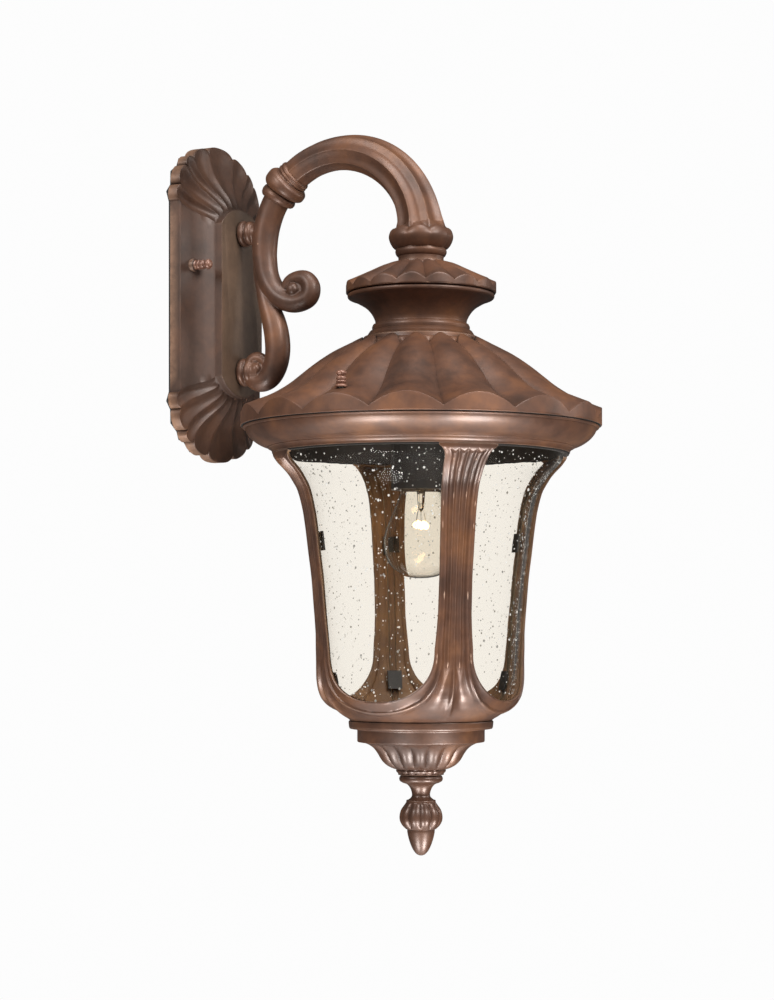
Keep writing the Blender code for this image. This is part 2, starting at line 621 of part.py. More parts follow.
def make_wires():
    """The two leads, from the connectors behind the plate through the arm to the socket."""
    climb = [arc_point(angle)[0] for angle in (28, 50, 75, 100, 125, 150, 172)]
    for side, colour in ((-1, "black"), (1, "white")):
        x = side * WIRE_OFFSET
        loose = [(side * 14, -12, -38), (side * 14, -11, -14), (side * 9, -10, 10), (side * 3.4, -12.5, 26),
                 (x, -20, 31.2)]
        boss_run = [(x, -34, 31.3), (x, AXIS_Y + 149.5, 31.5), (x, AXIS_Y + 143.2, 36)]
        arm = [(x, p.y, p.z) for p in climb]
        drop = [(x, AXIS_Y, 4), (x, AXIS_Y, -40), (x, AXIS_Y, -90), (x, AXIS_Y, -137.6)]
        wire("lead_wire_" + colour, smooth_route(loose + boss_run + arm + drop, 32), WIRE_RADIUS, colour)
        cone = [(1.6, -38.4), (5.4, -38.4), (5.4, -46), (3.2, -59), (0, -60), (0, -50), (1.6, -50)]
        turned("wire_connector_" + colour, cone, (side * 14, -12, 0), 10, kind="orange")
    ground = [(18, -6.8, 0), (18, -12, 3), (17, -16, 12), (13, -21, 22), (11.4, -25.5, 30)]
    wire("ground_wire", smooth_route(ground, 10), 0.8, "copper")


def main():
    clear_scene()
    make_wall_fixings()
    make_back_plate()
    make_bracket()
    make_collar()
    make_gooseneck()
    make_roof_stack()
    make_socket()
    make_bulb()
    make_cage()
    make_wires()


main()
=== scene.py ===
"""The looks of the outdoor wall lantern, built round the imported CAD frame.

The castings are dense lobed, fluted and scrolled surfaces that stand for the plain CAD solids. The
glass holds real bubbles, and every other CAD node keeps its shape and gets a better material.
Lengths are in millimetres in the frame's own axes, and become metres when a mesh is made.
"""

import json
import math
import random
from bisect import bisect_left

import bmesh
import bpy
from mathutils import Matrix, Vector


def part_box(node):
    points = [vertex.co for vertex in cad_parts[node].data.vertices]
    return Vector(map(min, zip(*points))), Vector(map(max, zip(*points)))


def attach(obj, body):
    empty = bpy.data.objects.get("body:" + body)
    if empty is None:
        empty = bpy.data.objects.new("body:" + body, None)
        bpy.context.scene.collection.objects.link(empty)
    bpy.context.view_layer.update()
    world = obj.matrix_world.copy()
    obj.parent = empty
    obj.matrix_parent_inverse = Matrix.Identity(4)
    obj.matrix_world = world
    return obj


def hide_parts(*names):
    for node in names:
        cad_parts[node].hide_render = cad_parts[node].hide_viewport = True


MM = 0.001

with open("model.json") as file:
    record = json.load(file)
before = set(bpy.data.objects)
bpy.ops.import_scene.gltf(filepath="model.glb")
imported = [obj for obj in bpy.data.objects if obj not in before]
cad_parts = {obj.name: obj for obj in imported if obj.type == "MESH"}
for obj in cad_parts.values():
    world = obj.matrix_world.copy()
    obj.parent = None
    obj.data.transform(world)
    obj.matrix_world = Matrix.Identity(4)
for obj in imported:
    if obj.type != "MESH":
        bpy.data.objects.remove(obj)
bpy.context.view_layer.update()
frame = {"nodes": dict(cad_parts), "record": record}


def middle(node):
    """The middle of a CAD node's box, in millimetres."""
    low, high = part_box(node)
    return (low + high) / (2 * MM)


def low_of(node):
    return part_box(node)[0] / MM


def high_of(node):
    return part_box(node)[1] / MM


AXIS_Y = middle("roof").y
PLATE_Z = middle("back_plate").z
UPPER_BOSS_Z = middle("arm_nipple").z
LOWER_BOSS_Z = middle("arm_screw").z
PLATE_NUT_X = middle("plate_finial_right").x

# The arm's arc, as (distance from the lantern's axis toward the wall, height)
ARM_CENTRE = (72.3, 17.3)
ARM_RADIUS = 72.5
COLLAR_ANGLE = 44.0

LOBES = 16
CAP_TURN = math.radians(-3.2)

# The view: the camera's bearing round the lantern, its distance and height, and its lens
VIEW_BEARING = math.radians(63.0)
VIEW_DISTANCE = 1817.0
VIEW_HEIGHT = -298.8
SENSOR_HEIGHT = 36.0
LENS = 82.08
LENS_SHIFT = (-0.034, 0.132)


# ------------------------------ shapes


def smooth_run(points, per_span=4):
    """Points along a smooth curve through a run of 2-D or 3-D points."""
    run = [Vector(p) for p in points]
    run = [2 * run[0] - run[1]] + run + [2 * run[-1] - run[-2]]
    out = []
    for i in range(1, len(run) - 2):
        p0, p1, p2, p3 = run[i - 1 : i + 3]
        for k in range(per_span):
            t = k / per_span
            out.append(
                0.5 * (2 * p1 + (p2 - p0) * t + (2 * p0 - 5 * p1 + 4 * p2 - p3) * t**2
                       + (3 * p1 - p0 - 3 * p2 + p3) * t**3)
            )
    out.append(run[-2])
    return out


def outline(*runs, per_span=4):
    """Several runs, each from the end of the one before it, with a corner where two meet.

    A run of one more point is straight, and a longer one is smooth.
    """
    points = []
    end = []
    for run in runs:
        run = [*end, *run]
        sampled = smooth_run(run, per_span) if len(run) > 2 else [Vector(p) for p in run]
        points += sampled[len(end) :]
        end = run[-1:]
    return points


def share_of(value, start, end):
    """How far a value is from start to end, eased and held between 0 and 1."""
    t = min(max((value - start) / (end - start), 0.0), 1.0)
    return t * t * (3 - 2 * t)


class Table:
    """Reads a value between (place, value) pairs by straight lines, with the ends held."""

    def __init__(self, *pairs):
        self.places, self.values = zip(*sorted(pairs))

    def __call__(self, place):
        k = bisect_left(self.places, place)
        if k == 0:
            return self.values[0]
        if k == len(self.places):
            return self.values[-1]
        share = (place - self.places[k - 1]) / (self.places[k] - self.places[k - 1])
        return self.values[k - 1] + (self.values[k] - self.values[k - 1]) * share


def lobe_place(angle, count, turn=0.0):
    """Where an angle falls in its lobe: 0 on the crown, -1 and 1 in the valleys."""
    return ((angle - turn) * count / math.tau + 0.5) % 1.0 * 2 - 1


def circle(radius, sides):
    """Points round a flat circle."""
    turns = [math.tau * i / sides for i in range(sides)]
    return [(radius * math.cos(turn), radius * math.sin(turn)) for turn in turns]


def around_axis(radius, turn, height):
    """A point at a radius and a turn from the lantern's own axis."""
    return Vector((radius * math.cos(turn), AXIS_Y + radius * math.sin(turn), height))


def away_from_axis(face):
    """The level direction from the lantern's axis to the middle of a face."""
    return Vector((face.center.x, face.center.y - AXIS_Y * MM, 0)).normalized()


def add_object(name, data):
    obj = bpy.data.objects.new(name, data)
    bpy.context.scene.collection.objects.link(obj)
    return obj


def skin(name, points, faces, merge):
    """A smooth mesh object from points and faces, with points closer than merge made one."""
    mesh = bpy.data.meshes.new(name)
    mesh.from_pydata(points, [], faces)
    bm = bmesh.new()
    bm.from_mesh(mesh)
    bmesh.ops.remove_doubles(bm, verts=bm.verts, dist=merge)
    bmesh.ops.delete(bm, geom=[edge for edge in bm.edges if not edge.link_faces], context="EDGES")
    bmesh.ops.recalc_face_normals(bm, faces=bm.faces)
    bm.to_mesh(mesh)
    bm.free()
    mesh.shade_smooth()
    return add_object(name, mesh)


def shell(name, rings, closed=False, capped=False, sharp=40):
    """A mesh object from rings of points. closed joins the last ring to the first."""
    count = len(rings[0])
    points = [Vector(p) * MM for ring in rings for p in ring]
    faces = []
    rows = len(rings)
    for i in range(rows if closed else rows - 1):
        for j in range(count):
            a, b = i * count + j, i * count + (j + 1) % count
            c, d = (i + 1) % rows * count + (j + 1) % count, (i + 1) % rows * count + j
            faces.append((a, b, c, d))
    if capped:
        faces.append(tuple(range(count)))
        faces.append(tuple((rows - 1) * count + j for j in range(count)))
    obj = skin(name, points, faces, 1e-6)
    obj.data.set_sharp_from_angle(angle=math.radians(sharp))
    return obj


def turned(name, profile, steps=96, warp=None, inside=(), at=None, axis="Z", start=0.0, sharp=40):
    """Turns a profile of (radius, height) about an axis.

    warp(radius, height, angle) may move the points of the profile, but not the points inside.
    """
    at = Vector(at) if at else Vector((0, AXIS_Y, 0))
    rings = []
    for number, (radius, height) in enumerate([*profile, *inside]):
        ring = []
        for i in range(steps):
            angle = start + math.tau * i / steps
            moved = warp and number < len(profile)
            r, h = warp(radius, height, angle) if moved else (radius, height)
            across, up = r * math.cos(angle), r * math.sin(angle)
            offset = (across, up, h) if axis == "Z" else (across, h, up)
            ring.append(at + Vector(offset))
        rings.append(ring)
    return shell(name, rings, closed=True, sharp=sharp)


def dress(obj, body, material, slot, *nodes):
    """Gives a piece its material and body, and hides the CAD nodes that it stands for. The slot is
    not used.
    """
    obj.data.materials.clear()
    obj.data.materials.append(material)
    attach(obj, body)
    if nodes:
        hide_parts(*nodes)


def cast(obj, body, material, *nodes):
    """Dresses a painted casting."""
    dress(obj, body, material, "bronze_paint", *nodes)


def line_inside(obj, material):
    """Gives the faces that look toward the lantern's axis, or down, a material of their own:
    painted shade, or painted warm light inside the cage.
    """
    obj.data.materials.append(material)
    for face in obj.data.polygons:
        outward = face.normal.dot(away_from_axis(face))
        if outward < -0.3 or (face.normal.z < -0.2 and outward < 0.2):
            face.material_index = 1


def apply_modifiers(obj):
    graph = bpy.context.evaluated_depsgraph_get()
    mesh = bpy.data.meshes.new_from_object(obj.evaluated_get(graph))
    obj.modifiers.clear()
    obj.data = mesh
    return obj


# ------------------------------ materials


def srgb(colour):
    """A colour given in 0 to 255 steps, as linear light."""
    out = []
    for value in colour:
        value /= 255
        out.append(value / 12.92 if value <= 0.04045 else ((value + 0.055) / 1.055) ** 2.4)
    return (*out, 1.0)


class Nodes:
    """A short way to lay out one material's nodes."""

    def __init__(self, name):
        self.material = bpy.data.materials.new(name)
        self.material.use_nodes = True
        self.tree = self.material.node_tree
        self.shader = self.tree.nodes["Principled BSDF"]
        self.place = self.node("ShaderNodeTexCoord").outputs["Object"]

    def node(self, kind, **settings):
        made = self.tree.nodes.new(kind)
        for key, value in settings.items():
            setattr(made, key, value)
        return made

    def link(self, source, target):
        self.tree.links.new(source, target)
        return target

    def noise(self, scale, detail=4.0, roughness=0.55):
        made = self.node("ShaderNodeTexNoise")
        made.inputs["Scale"].default_value = scale
        made.inputs["Detail"].default_value = detail
        made.inputs["Roughness"].default_value = roughness
        self.link(self.place, made.inputs["Vector"])
        return made.outputs["Fac"]

    def ramp(self, source, *stops):
        made = self.node("ShaderNodeValToRGB")
        elements = made.color_ramp.elements
        while len(elements) < len(stops):
            elements.new(0.5)
        for element, (place, colour) in zip(elements, stops):
            element.position = place
            element.color = srgb(colour) if isinstance(colour, tuple) else (colour,) * 3 + (1,)
        self.link(source, made.inputs["Fac"])
        return made.outputs["Color"]

    def mix(self, share, first, second, blend="MIX"):
        made = self.node("ShaderNodeMix", data_type="RGBA", blend_type=blend)
        for number, value in ((0, share), (6, first), (7, second)):
            if isinstance(value, (float, tuple)):
                made.inputs[number].default_value = value
            else:
                self.link(value, made.inputs[number])
        return made.outputs[2]

    def bump(self, *layers):
        """Adds bump layers, each (height, strength, distance in millimetres)."""
        normal = None
        for height, strength, distance in layers:
            made = self.node("ShaderNodeBump")
            made.inputs["Strength"].default_value = strength
            made.inputs["Distance"].default_value = distance * MM
            self.link(height, made.inputs["Height"])
            if normal:
                self.link(normal, made.inputs["Normal"])
            normal = made.outputs["Normal"]
        self.feed(normal, "Normal")

    def feed(self, source, name):
        self.link(source, self.shader.inputs[name])

    def set(self, **values):
        for key, value in values.items():
            self.shader.inputs[key.replace("_", " ")].default_value = value


def bronze(name, dark, main, warm, worn_and_lit, metallic=0.35, rough=(0.36, 0.48), coat=0.4, panel=None):
    """Hand-rubbed bronze paint: cloudy brown with warmer patches, painted shade in its hollows, and
    rubbed crests that also carry a painted highlight.
    """
    n = Nodes(name)
    clouds = n.ramp(n.noise(24.0, 5.0, 0.6), (0.34, dark), (0.5, main), (0.68, warm))
    mottle = n.ramp(n.noise(150.0, 6.0, 0.7), (0.32, 0.88), (0.68, 1.08))
    colour = n.mix(1.0, clouds, mottle, "MULTIPLY")
    if panel:  # the raised panel's flat face, found by its depth, is a more olive brown
        split = n.node("ShaderNodeSeparateXYZ")
        n.link(n.place, split.inputs[0])
        depth = n.node("ShaderNodeMath", operation="MULTIPLY")
        depth.inputs[1].default_value = -10.0  # the ramp then spans 100 mm of depth
        n.link(split.outputs["Y"], depth.inputs[0])
        on_face = n.ramp(depth.outputs[0], (0.316, 0.0), (0.319, 1.0))
        olive = n.ramp(n.noise(14.0, 4.0), (0.35, panel[0]), (0.6, panel[1]))
        colour = n.mix(on_face, colour, n.mix(1.0, olive, mottle, "MULTIPLY"))
    geometry = n.node("ShaderNodeNewGeometry")
    # Convex edges turn the rubbed colour: real wear, and also a painted highlight.
    worn_lit_crest = n.ramp(geometry.outputs["Pointiness"], (0.525, 0.0), (0.6, 0.75))
    patchy = n.ramp(n.noise(160.0, 4.0, 0.6), (0.3, 0.4), (0.6, 1.0))
    colour = n.mix(n.mix(1.0, worn_lit_crest, patchy, "MULTIPLY"), colour, srgb(worn_and_lit))
    # Concave places are darkened: painted shade.
    painted_hollow_shade = n.ramp(geometry.outputs["Pointiness"], (0.4, 0.4), (0.485, 1.0))
    colour = n.mix(1.0, colour, painted_hollow_shade, "MULTIPLY")
    # Places hidden by nearby surfaces are darkened by ambient occlusion: painted shade.
    shade = n.node("ShaderNodeAmbientOcclusion", samples=6)
    shade.inputs["Distance"].default_value = 6 * MM
    colour = n.mix(1.0, colour, n.ramp(shade.outputs["AO"], (0.15, 0.4), (0.75, 1.0)), "MULTIPLY")
    n.feed(colour, "Base Color")
    n.feed(n.ramp(n.noise(70.0, 6.0, 0.65), (0.3, rough[0]), (0.7, rough[1])), "Roughness")
    n.set(Metallic=metallic, IOR=1.6, Coat_Weight=coat, Coat_Roughness=0.28)
    n.bump((n.noise(420.0, 3.0), 0.14, 0.22), (n.noise(1500.0, 2.0), 0.1, 0.08))
    return n.material


def simple(name, light, dark, rough, metallic=0.0, grain=700.0, strength=0.15):
    """A plain finish with a fine grain and a little unevenness in its colour and gloss."""
    n = Nodes(name)
    source = n.noise(grain, 4.0, 0.6)
    n.feed(n.ramp(source, (0.3, dark), (0.7, light)), "Base Color")
    n.feed(n.ramp(n.noise(120.0), (0.3, rough * 0.85), (0.7, rough * 1.15)), "Roughness")
    n.set(Metallic=metallic)
    n.bump((source, strength, 0.1))
    return n.material


def clear_glass(name, tint, ior, wave_scale, wave_strength, wave_depth):
    """Tinted glass with a soft wave in its faces."""
    n = Nodes(name)
    n.set(Base_Color=tint, Transmission_Weight=1.0, IOR=ior, Roughness=0.0, Specular_IOR_Level=0.03)
    n.bump((n.noise(wave_scale, 2.0, 0.4), wave_strength, wave_depth))
    return n.material


def glowing(name, colour, strength):
    """A finish that gives its own, slightly uneven light."""
    n = Nodes(name)
    uneven = n.ramp(n.noise(500.0, 2.0), (0.2, 0.8), (0.8, 1.0))
    n.feed(n.mix(1.0, colour, uneven, "MULTIPLY"), "Emission Color")
    n.set(Emission_Strength=strength, Roughness=0.6, Base_Color=(0.02, 0.02, 0.02, 1.0))
    return n.material


# The last colour of each bronze is for rubbed edges, which also carry a painted highlight.
BRONZE = bronze("bronze", (68, 45, 34), (88, 58, 42), (112, 74, 48), (182, 150, 130))
PLATE_BRONZE = bronze(
    "plate_bronze", (56, 38, 28), (72, 49, 37), (90, 60, 42), (154, 118, 94),
    rough=(0.44, 0.56), coat=0.15,
    panel=((88, 71, 58), (116, 94, 77)),
)
SATIN_BRONZE = bronze(
    "satin_bronze", (72, 48, 36), (96, 63, 45), (120, 78, 50), (170, 132, 108),
    rough=(0.46, 0.58), coat=0.2,
)
NUT_BRONZE = bronze(
    "nut_bronze", (104, 70, 56), (136, 94, 76), (152, 106, 84), (196, 158, 136),
)
# Near black: the dark bronze paint of its slot, also used as painted shade on the insides and
# undersides of the roof and gallery and in the gap under the gallery.
DARK_BRONZE_AND_SHADE = simple("dark_bronze", (34, 28, 24), (20, 17, 15), 0.8, 0.0, 120.0)
# A lighter, warmer, matt copy of the bronze for the cage's inner faces: painted warm light from the
# bulb.
INNER_BRONZE_WARM_LIT = simple("inner_bronze_painted_light", (102, 76, 52), (76, 54, 36), 0.7, 0.0, 60.0)
ZINC = simple("zinc", (196, 196, 190), (150, 150, 146), 0.38, 1.0, 500.0)
BRASS = simple("brass_finish", (214, 178, 108), (176, 138, 76), 0.3, 1.0, 600.0)
BLACK_STEEL = simple("black_clip", (34, 31, 30), (20, 19, 18), 0.5, 0.2, 900.0)
SEEDED = clear_glass("seeded_glass_finish", (0.965, 0.938, 0.89, 1.0), 1.12, 60.0, 0.22, 0.6)
# The panes' cut edges are painted brown: a painted stand-in for the bronze seen through them, in
# place of the light they would carry.
CUT_EDGE_PAINTED_BRONZE = simple("pane_edge_painted_bronze", (108, 92, 70), (84, 70, 52), 0.6, 0.0, 300.0)
BULB_CLEAR = clear_glass("bulb_glass_finish", (0.985, 0.955, 0.9, 1.0), 1.45, 30.0, 0.1, 0.3)
PORCELAIN = simple("porcelain_finish", (236, 233, 224), (222, 218, 208), 0.2, 0.0, 90.0, 0.05)
RUBBER = simple("gasket_foam", (40, 39, 38), (22, 21, 21), 0.85, 0.0, 1600.0, 0.6)
BLACK_WIRE = simple("black_insulation_finish", (30, 30, 31), (20, 20, 21), 0.45, 0.0, 400.0)
WHITE_WIRE = simple("white_insulation_finish", (232, 231, 226), (214, 213, 206), 0.45, 0.0, 400.0)
COPPER = simple("copper_finish", (206, 128, 92), (164, 92, 62), 0.35, 1.0, 800.0)
ORANGE = simple("connector_plastic", (232, 118, 40), (206, 96, 28), 0.4, 0.0, 300.0, 0.1)
# The bubbles give their own light: painted light that stands for the lamp light they catch.
GLOWING_PALE_SEED = glowing("pale_bubbles_painted_glow", (0.95, 0.94, 0.9, 1.0), 0.9)
GLOWING_GREY_SEED = glowing("grey_bubbles_painted_glow", (0.9, 0.86, 0.78, 1.0), 0.34)
FILAMENT = glowing("filament_glow", (1.0, 0.64, 0.27, 1.0), 7.0)


# ------------------------------ wall plate

PLATE_HALF_WIDTH = 62.4
PLATE_CUSPS = [(19, 124.2), (41, 115.5), (51, 107.5), (60, 91), (PLATE_HALF_WIDTH, 77.5)]
PLATE_BULGES = [6.7, 5, 4.5, 5, 4]
FLUTE_DEPTH = Table((0.0, 0.7), (0.03, 1.3), (0.2, 2.6), (0.5, 3.4), (0.8, 2.6), (0.95, 1.2),
                    (1.0, 0.0))
PANEL_HALF_WIDTH = 31.5
PANEL_STRAIGHT = 62.7
PANEL_RISE = 15.3
# Both sections are (share of the way from the plate's edge to the panel, y)
PLATE_SECTION = outline(
    [(0.0, -1.8), (0.0, -10.2)],
    [(0.008, -11.0), (0.03, -11.5)],
    [(0.24, -12.4), (0.45, -14.6), (0.63, -18.5), (0.8, -22.8), (0.93, -25.0), (0.99, -25.5)],
    [(1.0, -26.2), (1.0, -31.0)],
    [(1.01, -31.7), (1.04, -32.0)],
)
PLATE_BACK = [(1.12, -28.3), (1.12, -21.5), (0.68, -15.5), (0.42, -10.5), (0.12, -8), (0.12, -1.8)]


def bulged(start, end, bulge, segments):
    """Points along a flat-topped lobe from start to end, which stands out by bulge on its left."""
    a, b = Vector(start), Vector(end)
    chord = b - a
    normal = Vector((-chord.y, chord.x)).normalized()
    points = []
    for i in range(segments):
        place = -math.cos(math.pi * i / segments)
        rise = bulge * (1 - abs(place) ** 2.6) ** 0.55
        points.append((a + chord * (place + 1) / 2 + normal * rise, place))
    return points


def plate_columns(segments=20):
    """(outline point, panel point, place in the lobe) once round the plate, from its centre."""
    radius = (PANEL_HALF_WIDTH**2 + PANEL_RISE**2) / (2 * PANEL_RISE)
    centre = PANEL_STRAIGHT + PANEL_RISE - radius
    sweep = math.asin(PANEL_HALF_WIDTH / radius)
    cusps = PLATE_CUSPS[::-1] + [(-x, z) for x, z in PLATE_CUSPS]
    bulges = PLATE_BULGES[::-1] + PLATE_BULGES[1:]
    top = []
    for k, bulge in enumerate(bulges):
        for point, place in bulged(cusps[k], cusps[k + 1], -bulge, segments):
            turn = sweep * (1 - 2 * (k + (place + 1) / 2) / len(bulges))
            panel = Vector((radius * math.sin(turn), centre + radius * math.cos(turn)))
            top.append((point, panel, place))
    steps = 24
    for i in range(steps):
        share = 1 - 2 * i / steps
        on_edge = Vector((-PLATE_HALF_WIDTH, PLATE_CUSPS[-1][1] * share))
        on_panel = Vector((-PANEL_HALF_WIDTH, PANEL_STRAIGHT * share))
        top.append((on_edge, on_panel, 1.0))
    return top + [(-outer, -inner, place) for outer, inner, place in top]


def make_plate():
    columns = plate_columns()
    rings = []
    for share, y in PLATE_BACK:
        places = [outer.lerp(inner, share) for outer, inner, place in columns]
        rings.append([Vector((at.x, y, at.y + PLATE_Z)) for at in places])
    for share, y in PLATE_SECTION:
        sway = share_of(share, 0.0, 1.0)
        flute = FLUTE_DEPTH(share) * share_of(-y, 10.0, 11.2)
        ring = []
        for outer, inner, place in columns:
            on_side = abs(place) == 1.0 and abs(outer.x) == PLATE_HALF_WIDTH
            x = outer.x + (inner.x - outer.x) * (share if on_side else sway)
            z = outer.y + (inner.y - outer.y) * share
            ring.append(Vector((x, y + flute * (1 - abs(place) ** 1.7), z + PLATE_Z)))
        rings.append(ring)
    plate = shell("wall_plate", rings, capped=True, sharp=30)
    cast(plate, "root", PLATE_BRONZE, "back_plate")
    seat = outline(
        [(0.0, -2.4), (4.8, -2.4)],
        [(5.2, -2.2), (5.4, -1.8)],
        [(5.4, 4.2)],
        [(0, 4.2)],
    )
    for word, side in (("left", -1), ("right", 1)):
        at = (side * PLATE_NUT_X, high_of("plate_finial_right").y, 0)
        piece = turned("nut_seat_" + word, seat, 32, at=at, axis="Y")
        cast(piece, "root", PLATE_BRONZE)


# ------------------------------ arm


def arm_point(u, z, x=0.0):
    """A point of the arm, u from the lantern's axis toward the wall."""
    return Vector((x, AXIS_Y + u, z))


def arc_point(angle):
    """A point on the arm's arc, and the direction of the arc there."""
    turn = math.radians(angle)
    u, z = ARM_CENTRE
    at = arm_point(u + ARM_RADIUS * math.cos(turn), z + ARM_RADIUS * math.sin(turn))
    return at, Vector((0, -math.sin(turn), math.cos(turn)))


def ring_at(centre, direction, radius, sides, shape=None):
    """A ring square to a direction in the arm's plane. shape(angle) scales the radius."""
    side = Vector((1, 0, 0))
    up = side.cross(direction).normalized()
    ring = []
    for i in range(sides):
        turn = math.tau * i / sides
        reach = radius * (shape(turn) if shape else 1.0)
        ring.append(centre + side * reach * math.cos(turn) + up * reach * math.sin(turn))
    return ring


def strand(name, stations, sides=40, per_span=8, shape=None):
    """A round bar along smooth (u, z, radius) stations, with rounded ends."""
    path = smooth_run(stations, per_span)
    places = [arm_point(p.x, p.y) for p in path]
    rings = []
    for i, at in enumerate(places):
        along = (places[min(i + 1, len(places) - 1)] - places[max(i - 1, 0)]).normalized()
        rings.append(ring_at(at, along, path[i].z, sides, shape))
    first, last = rings[0], rings[-1]
    rings.insert(0, [places[0]] * len(first))
    rings.append([places[-1]] * len(last))
    return shell(name, rings)


def ball(name, at, radii):
    """A ball with one radius across the arm's plane and another in it."""
    rings = []
    steps = 16
    for i in range(steps + 1):
        tilt = math.pi * i / steps
        x, reach = radii[0] * math.cos(tilt), radii[1] * math.sin(tilt)
        rings.append([at + Vector((x, y, z)) for y, z in circle(reach, 2 * steps)])
    return shell(name, rings)


def boss_profile(radius):
    """The (radius, height) profile of one of the bracket's turned feet."""
    return outline(
        [(0, 0), (radius - 0.8, 0)],
        [(radius, -0.9), (radius, -3.6), (radius - 1.2, -4.8)],
        [(radius - 2.6, -5.6), (radius - 2.2, -6.6)],
        [(radius - 0.8, -7.4), (radius - 0.9, -10), (radius - 2.6, -11.8)],
        [(radius - 3.2, -18)],
        [(0, -18)],
    )


def arc_stations(angles, radii):
    """Stations of a strand that follows the arm's arc."""
    out = []
    for angle, radius in zip(angles, radii):
        at = arc_point(angle)[0]
        out.append((at.y - AXIS_Y, at.z, radius))
    return out


def fuse(name, parts, voxel):
    """Joins overlapping closed parts into one skin with soft fillets where they meet."""
    obj = parts[0]
    joined = {"active_object": obj, "object": obj, "selected_editable_objects": parts}
    with bpy.context.temp_override(**joined):
        bpy.ops.object.join()
    obj.name = name
    remesh = obj.modifiers.new("one_skin", "REMESH")
    remesh.mode = "VOXEL"
    remesh.voxel_size = voxel * MM
    remesh.use_smooth_shade = True
    relax = obj.modifiers.new("relax", "SMOOTH")
    relax.factor = 0.5
    relax.iterations = 3
    return apply_modifiers(obj)


def make_bracket():
    upper = arc_stations((47, 38, 26, 13, 0), (11.6, 11.2, 10.9, 10.8, 10.4))
    upper += [
        (144.2, 6, 10.0), (141.8, -6, 9.6), (136, -17, 9.4), (127, -25, 9.0), (115, -28.6, 8.4),
        (103.5, -25.5, 8.0), (100.6, -17.5, 7.6), (105, -10.6, 7.0), (113, -9.0, 6.2),
        (121, -11.6, 5.4), (124.6, -18.4, 4.4), (120.4, -24.8, 3.0),
    ]
    lower = [
        (149.2, 18, 3.4), (150.6, 8, 4.4), (149.4, -4, 5.2), (146, -16, 6.2), (141.4, -29, 8.2),
        (136.4, -42, 9.8), (133.2, -55, 10.4), (132.4, -68, 10.4), (134.6, -80, 9.8),
        (140.2, -89, 9.0), (149, -92.2, 8.2), (157, -88.2, 7.4), (158.8, -80.5, 6.6),
        (155.0, -73.6, 5.8), (148.6, -73.0, 5.0), (143.6, -78.0, 4.0), (144.2, -84.8, 2.8),
    ]

    def keeled(turn):
        """A soft ridge along each flank of the bar."""
        return 1 + 0.05 * max(abs(math.cos(turn)) - 0.86, 0) / 0.14

    parts = [
        strand("upper_strand", upper, shape=keeled),
        strand("lower_strand", lower, shape=keeled),
        ball("upper_web", arm_point(112.6, -19.0), (5.0, 13.5)),
        ball("lower_web", arm_point(149.4, -82.6), (4.4, 11.5)),
    ]
    for side in (-1, 1):  # the eyes of the scrolls
        parts.append(ball("upper_eye", arm_point(115.6, -18.4, 4.6 * side), (5.0, 5.4)))
        parts.append(ball("lower_eye", arm_point(150.6, -82.0, 3.6 * side), (5.2, 4.8)))
    face = high_of("scroll_bracket").y
    parts.append(turned("upper_foot", boss_profile(10.6), 48, at=(0, face, UPPER_BOSS_Z), axis="Y"))
    parts.append(turned("lower_foot", boss_profile(11.4), 48, at=(0, face, LOWER_BOSS_Z), axis="Y"))
    cast(fuse("bracket", parts, 0.55), "root", SATIN_BRONZE, "scroll_bracket")


def make_collar():
    profile = outline(
        [(-15.2, 11.0), (-14.8, 13.0), (-13.2, 14.4)],
        [(-10.5, 14.9), (-8.0, 14.2), (-7.0, 13.2)],
        [(-6.0, 15.6), (-3.4, 17.7), (0, 18.1), (3.4, 17.6), (5.6, 15.4)],
        [(6.2, 13.8), (7.2, 13.6)],
        [(8.6, 14.2), (9.8, 13.6)],
        [(11.2, 14.0), (12.6, 13.5), (13.6, 12.0)],
        [(13.8, 10.0)],
    )
    rings = []
    for offset, radius in profile:
        at, along = arc_point(COLLAR_ANGLE + math.degrees(offset / ARM_RADIUS))
        rings.append(ring_at(at, along, radius, 64))
    cast(shell("collar", rings, capped=True), "root", SATIN_BRONZE, "arm_collar")


def make_gooseneck():
    radii = [
        (45, 12.6), (60, 13.3), (75, 13.7), (90, 14.1), (104, 15.0), (118, 15.9),
        (133, 16.7), (145, 17.3), (156, 18.0), (165, 18.8), (170, 19.4), (174, 20.8),
    ]
    flutes = 8
    flute_turn = math.radians(22.5)
    sides = 18 * flutes

    def fluted(depth):
        def shape(turn):
            scoop = math.sqrt(math.cos((turn - flute_turn) * flutes / 2) ** 2 + 0.004)
            return 1 - depth * scoop
        return shape

    rings = []
    for angle, radius in smooth_run(radii, 8):
        at, along = arc_point(angle)
        depth = 0.085 + 0.095 * share_of(angle, 50, 150)
        rings.append(ring_at(at, along, radius, sides, fluted(depth)))
    petals = outline(
        [(20.9, 23.0), (22.6, 22.4), (24.4, 20.6), (25.5, 17.6),
         (25.7, 15.0), (24.9, 12.0), (23.2, 9.2), (21.2, 7.2)],
        [(20.0, 6.4)],
        [(20.4, 5.2), (20.5, 3.4), (19.8, 1.4), (18.9, 0.3)],
        [(18.3, 0.0), (18.1, -0.8)],
        [(18.0, -3.7)],
    )
    for radius, height in petals:
        ring = []
        upper = share_of(height, 12, 22.0)
        lower = share_of(height, 3.2, 6.6) * (1 - share_of(height, 7.4, 13))
        for i in range(sides):
            turn = math.tau * i / sides
            place = lobe_place(turn, flutes, flute_turn)
            sag = -2.2 * upper * place**2 - 0.8 * lower * (1 - place**2)
            reach = radius - 0.5 * share_of(height, 6.0, 9.0) * place**2
            ring.append(around_axis(reach, turn, height + sag))
        rings.append(ring)
    gooseneck = shell("gooseneck_casting", rings, capped=True, sharp=38)
    cast(gooseneck, "root", SATIN_BRONZE, "gooseneck")


# ------------------------------ roof


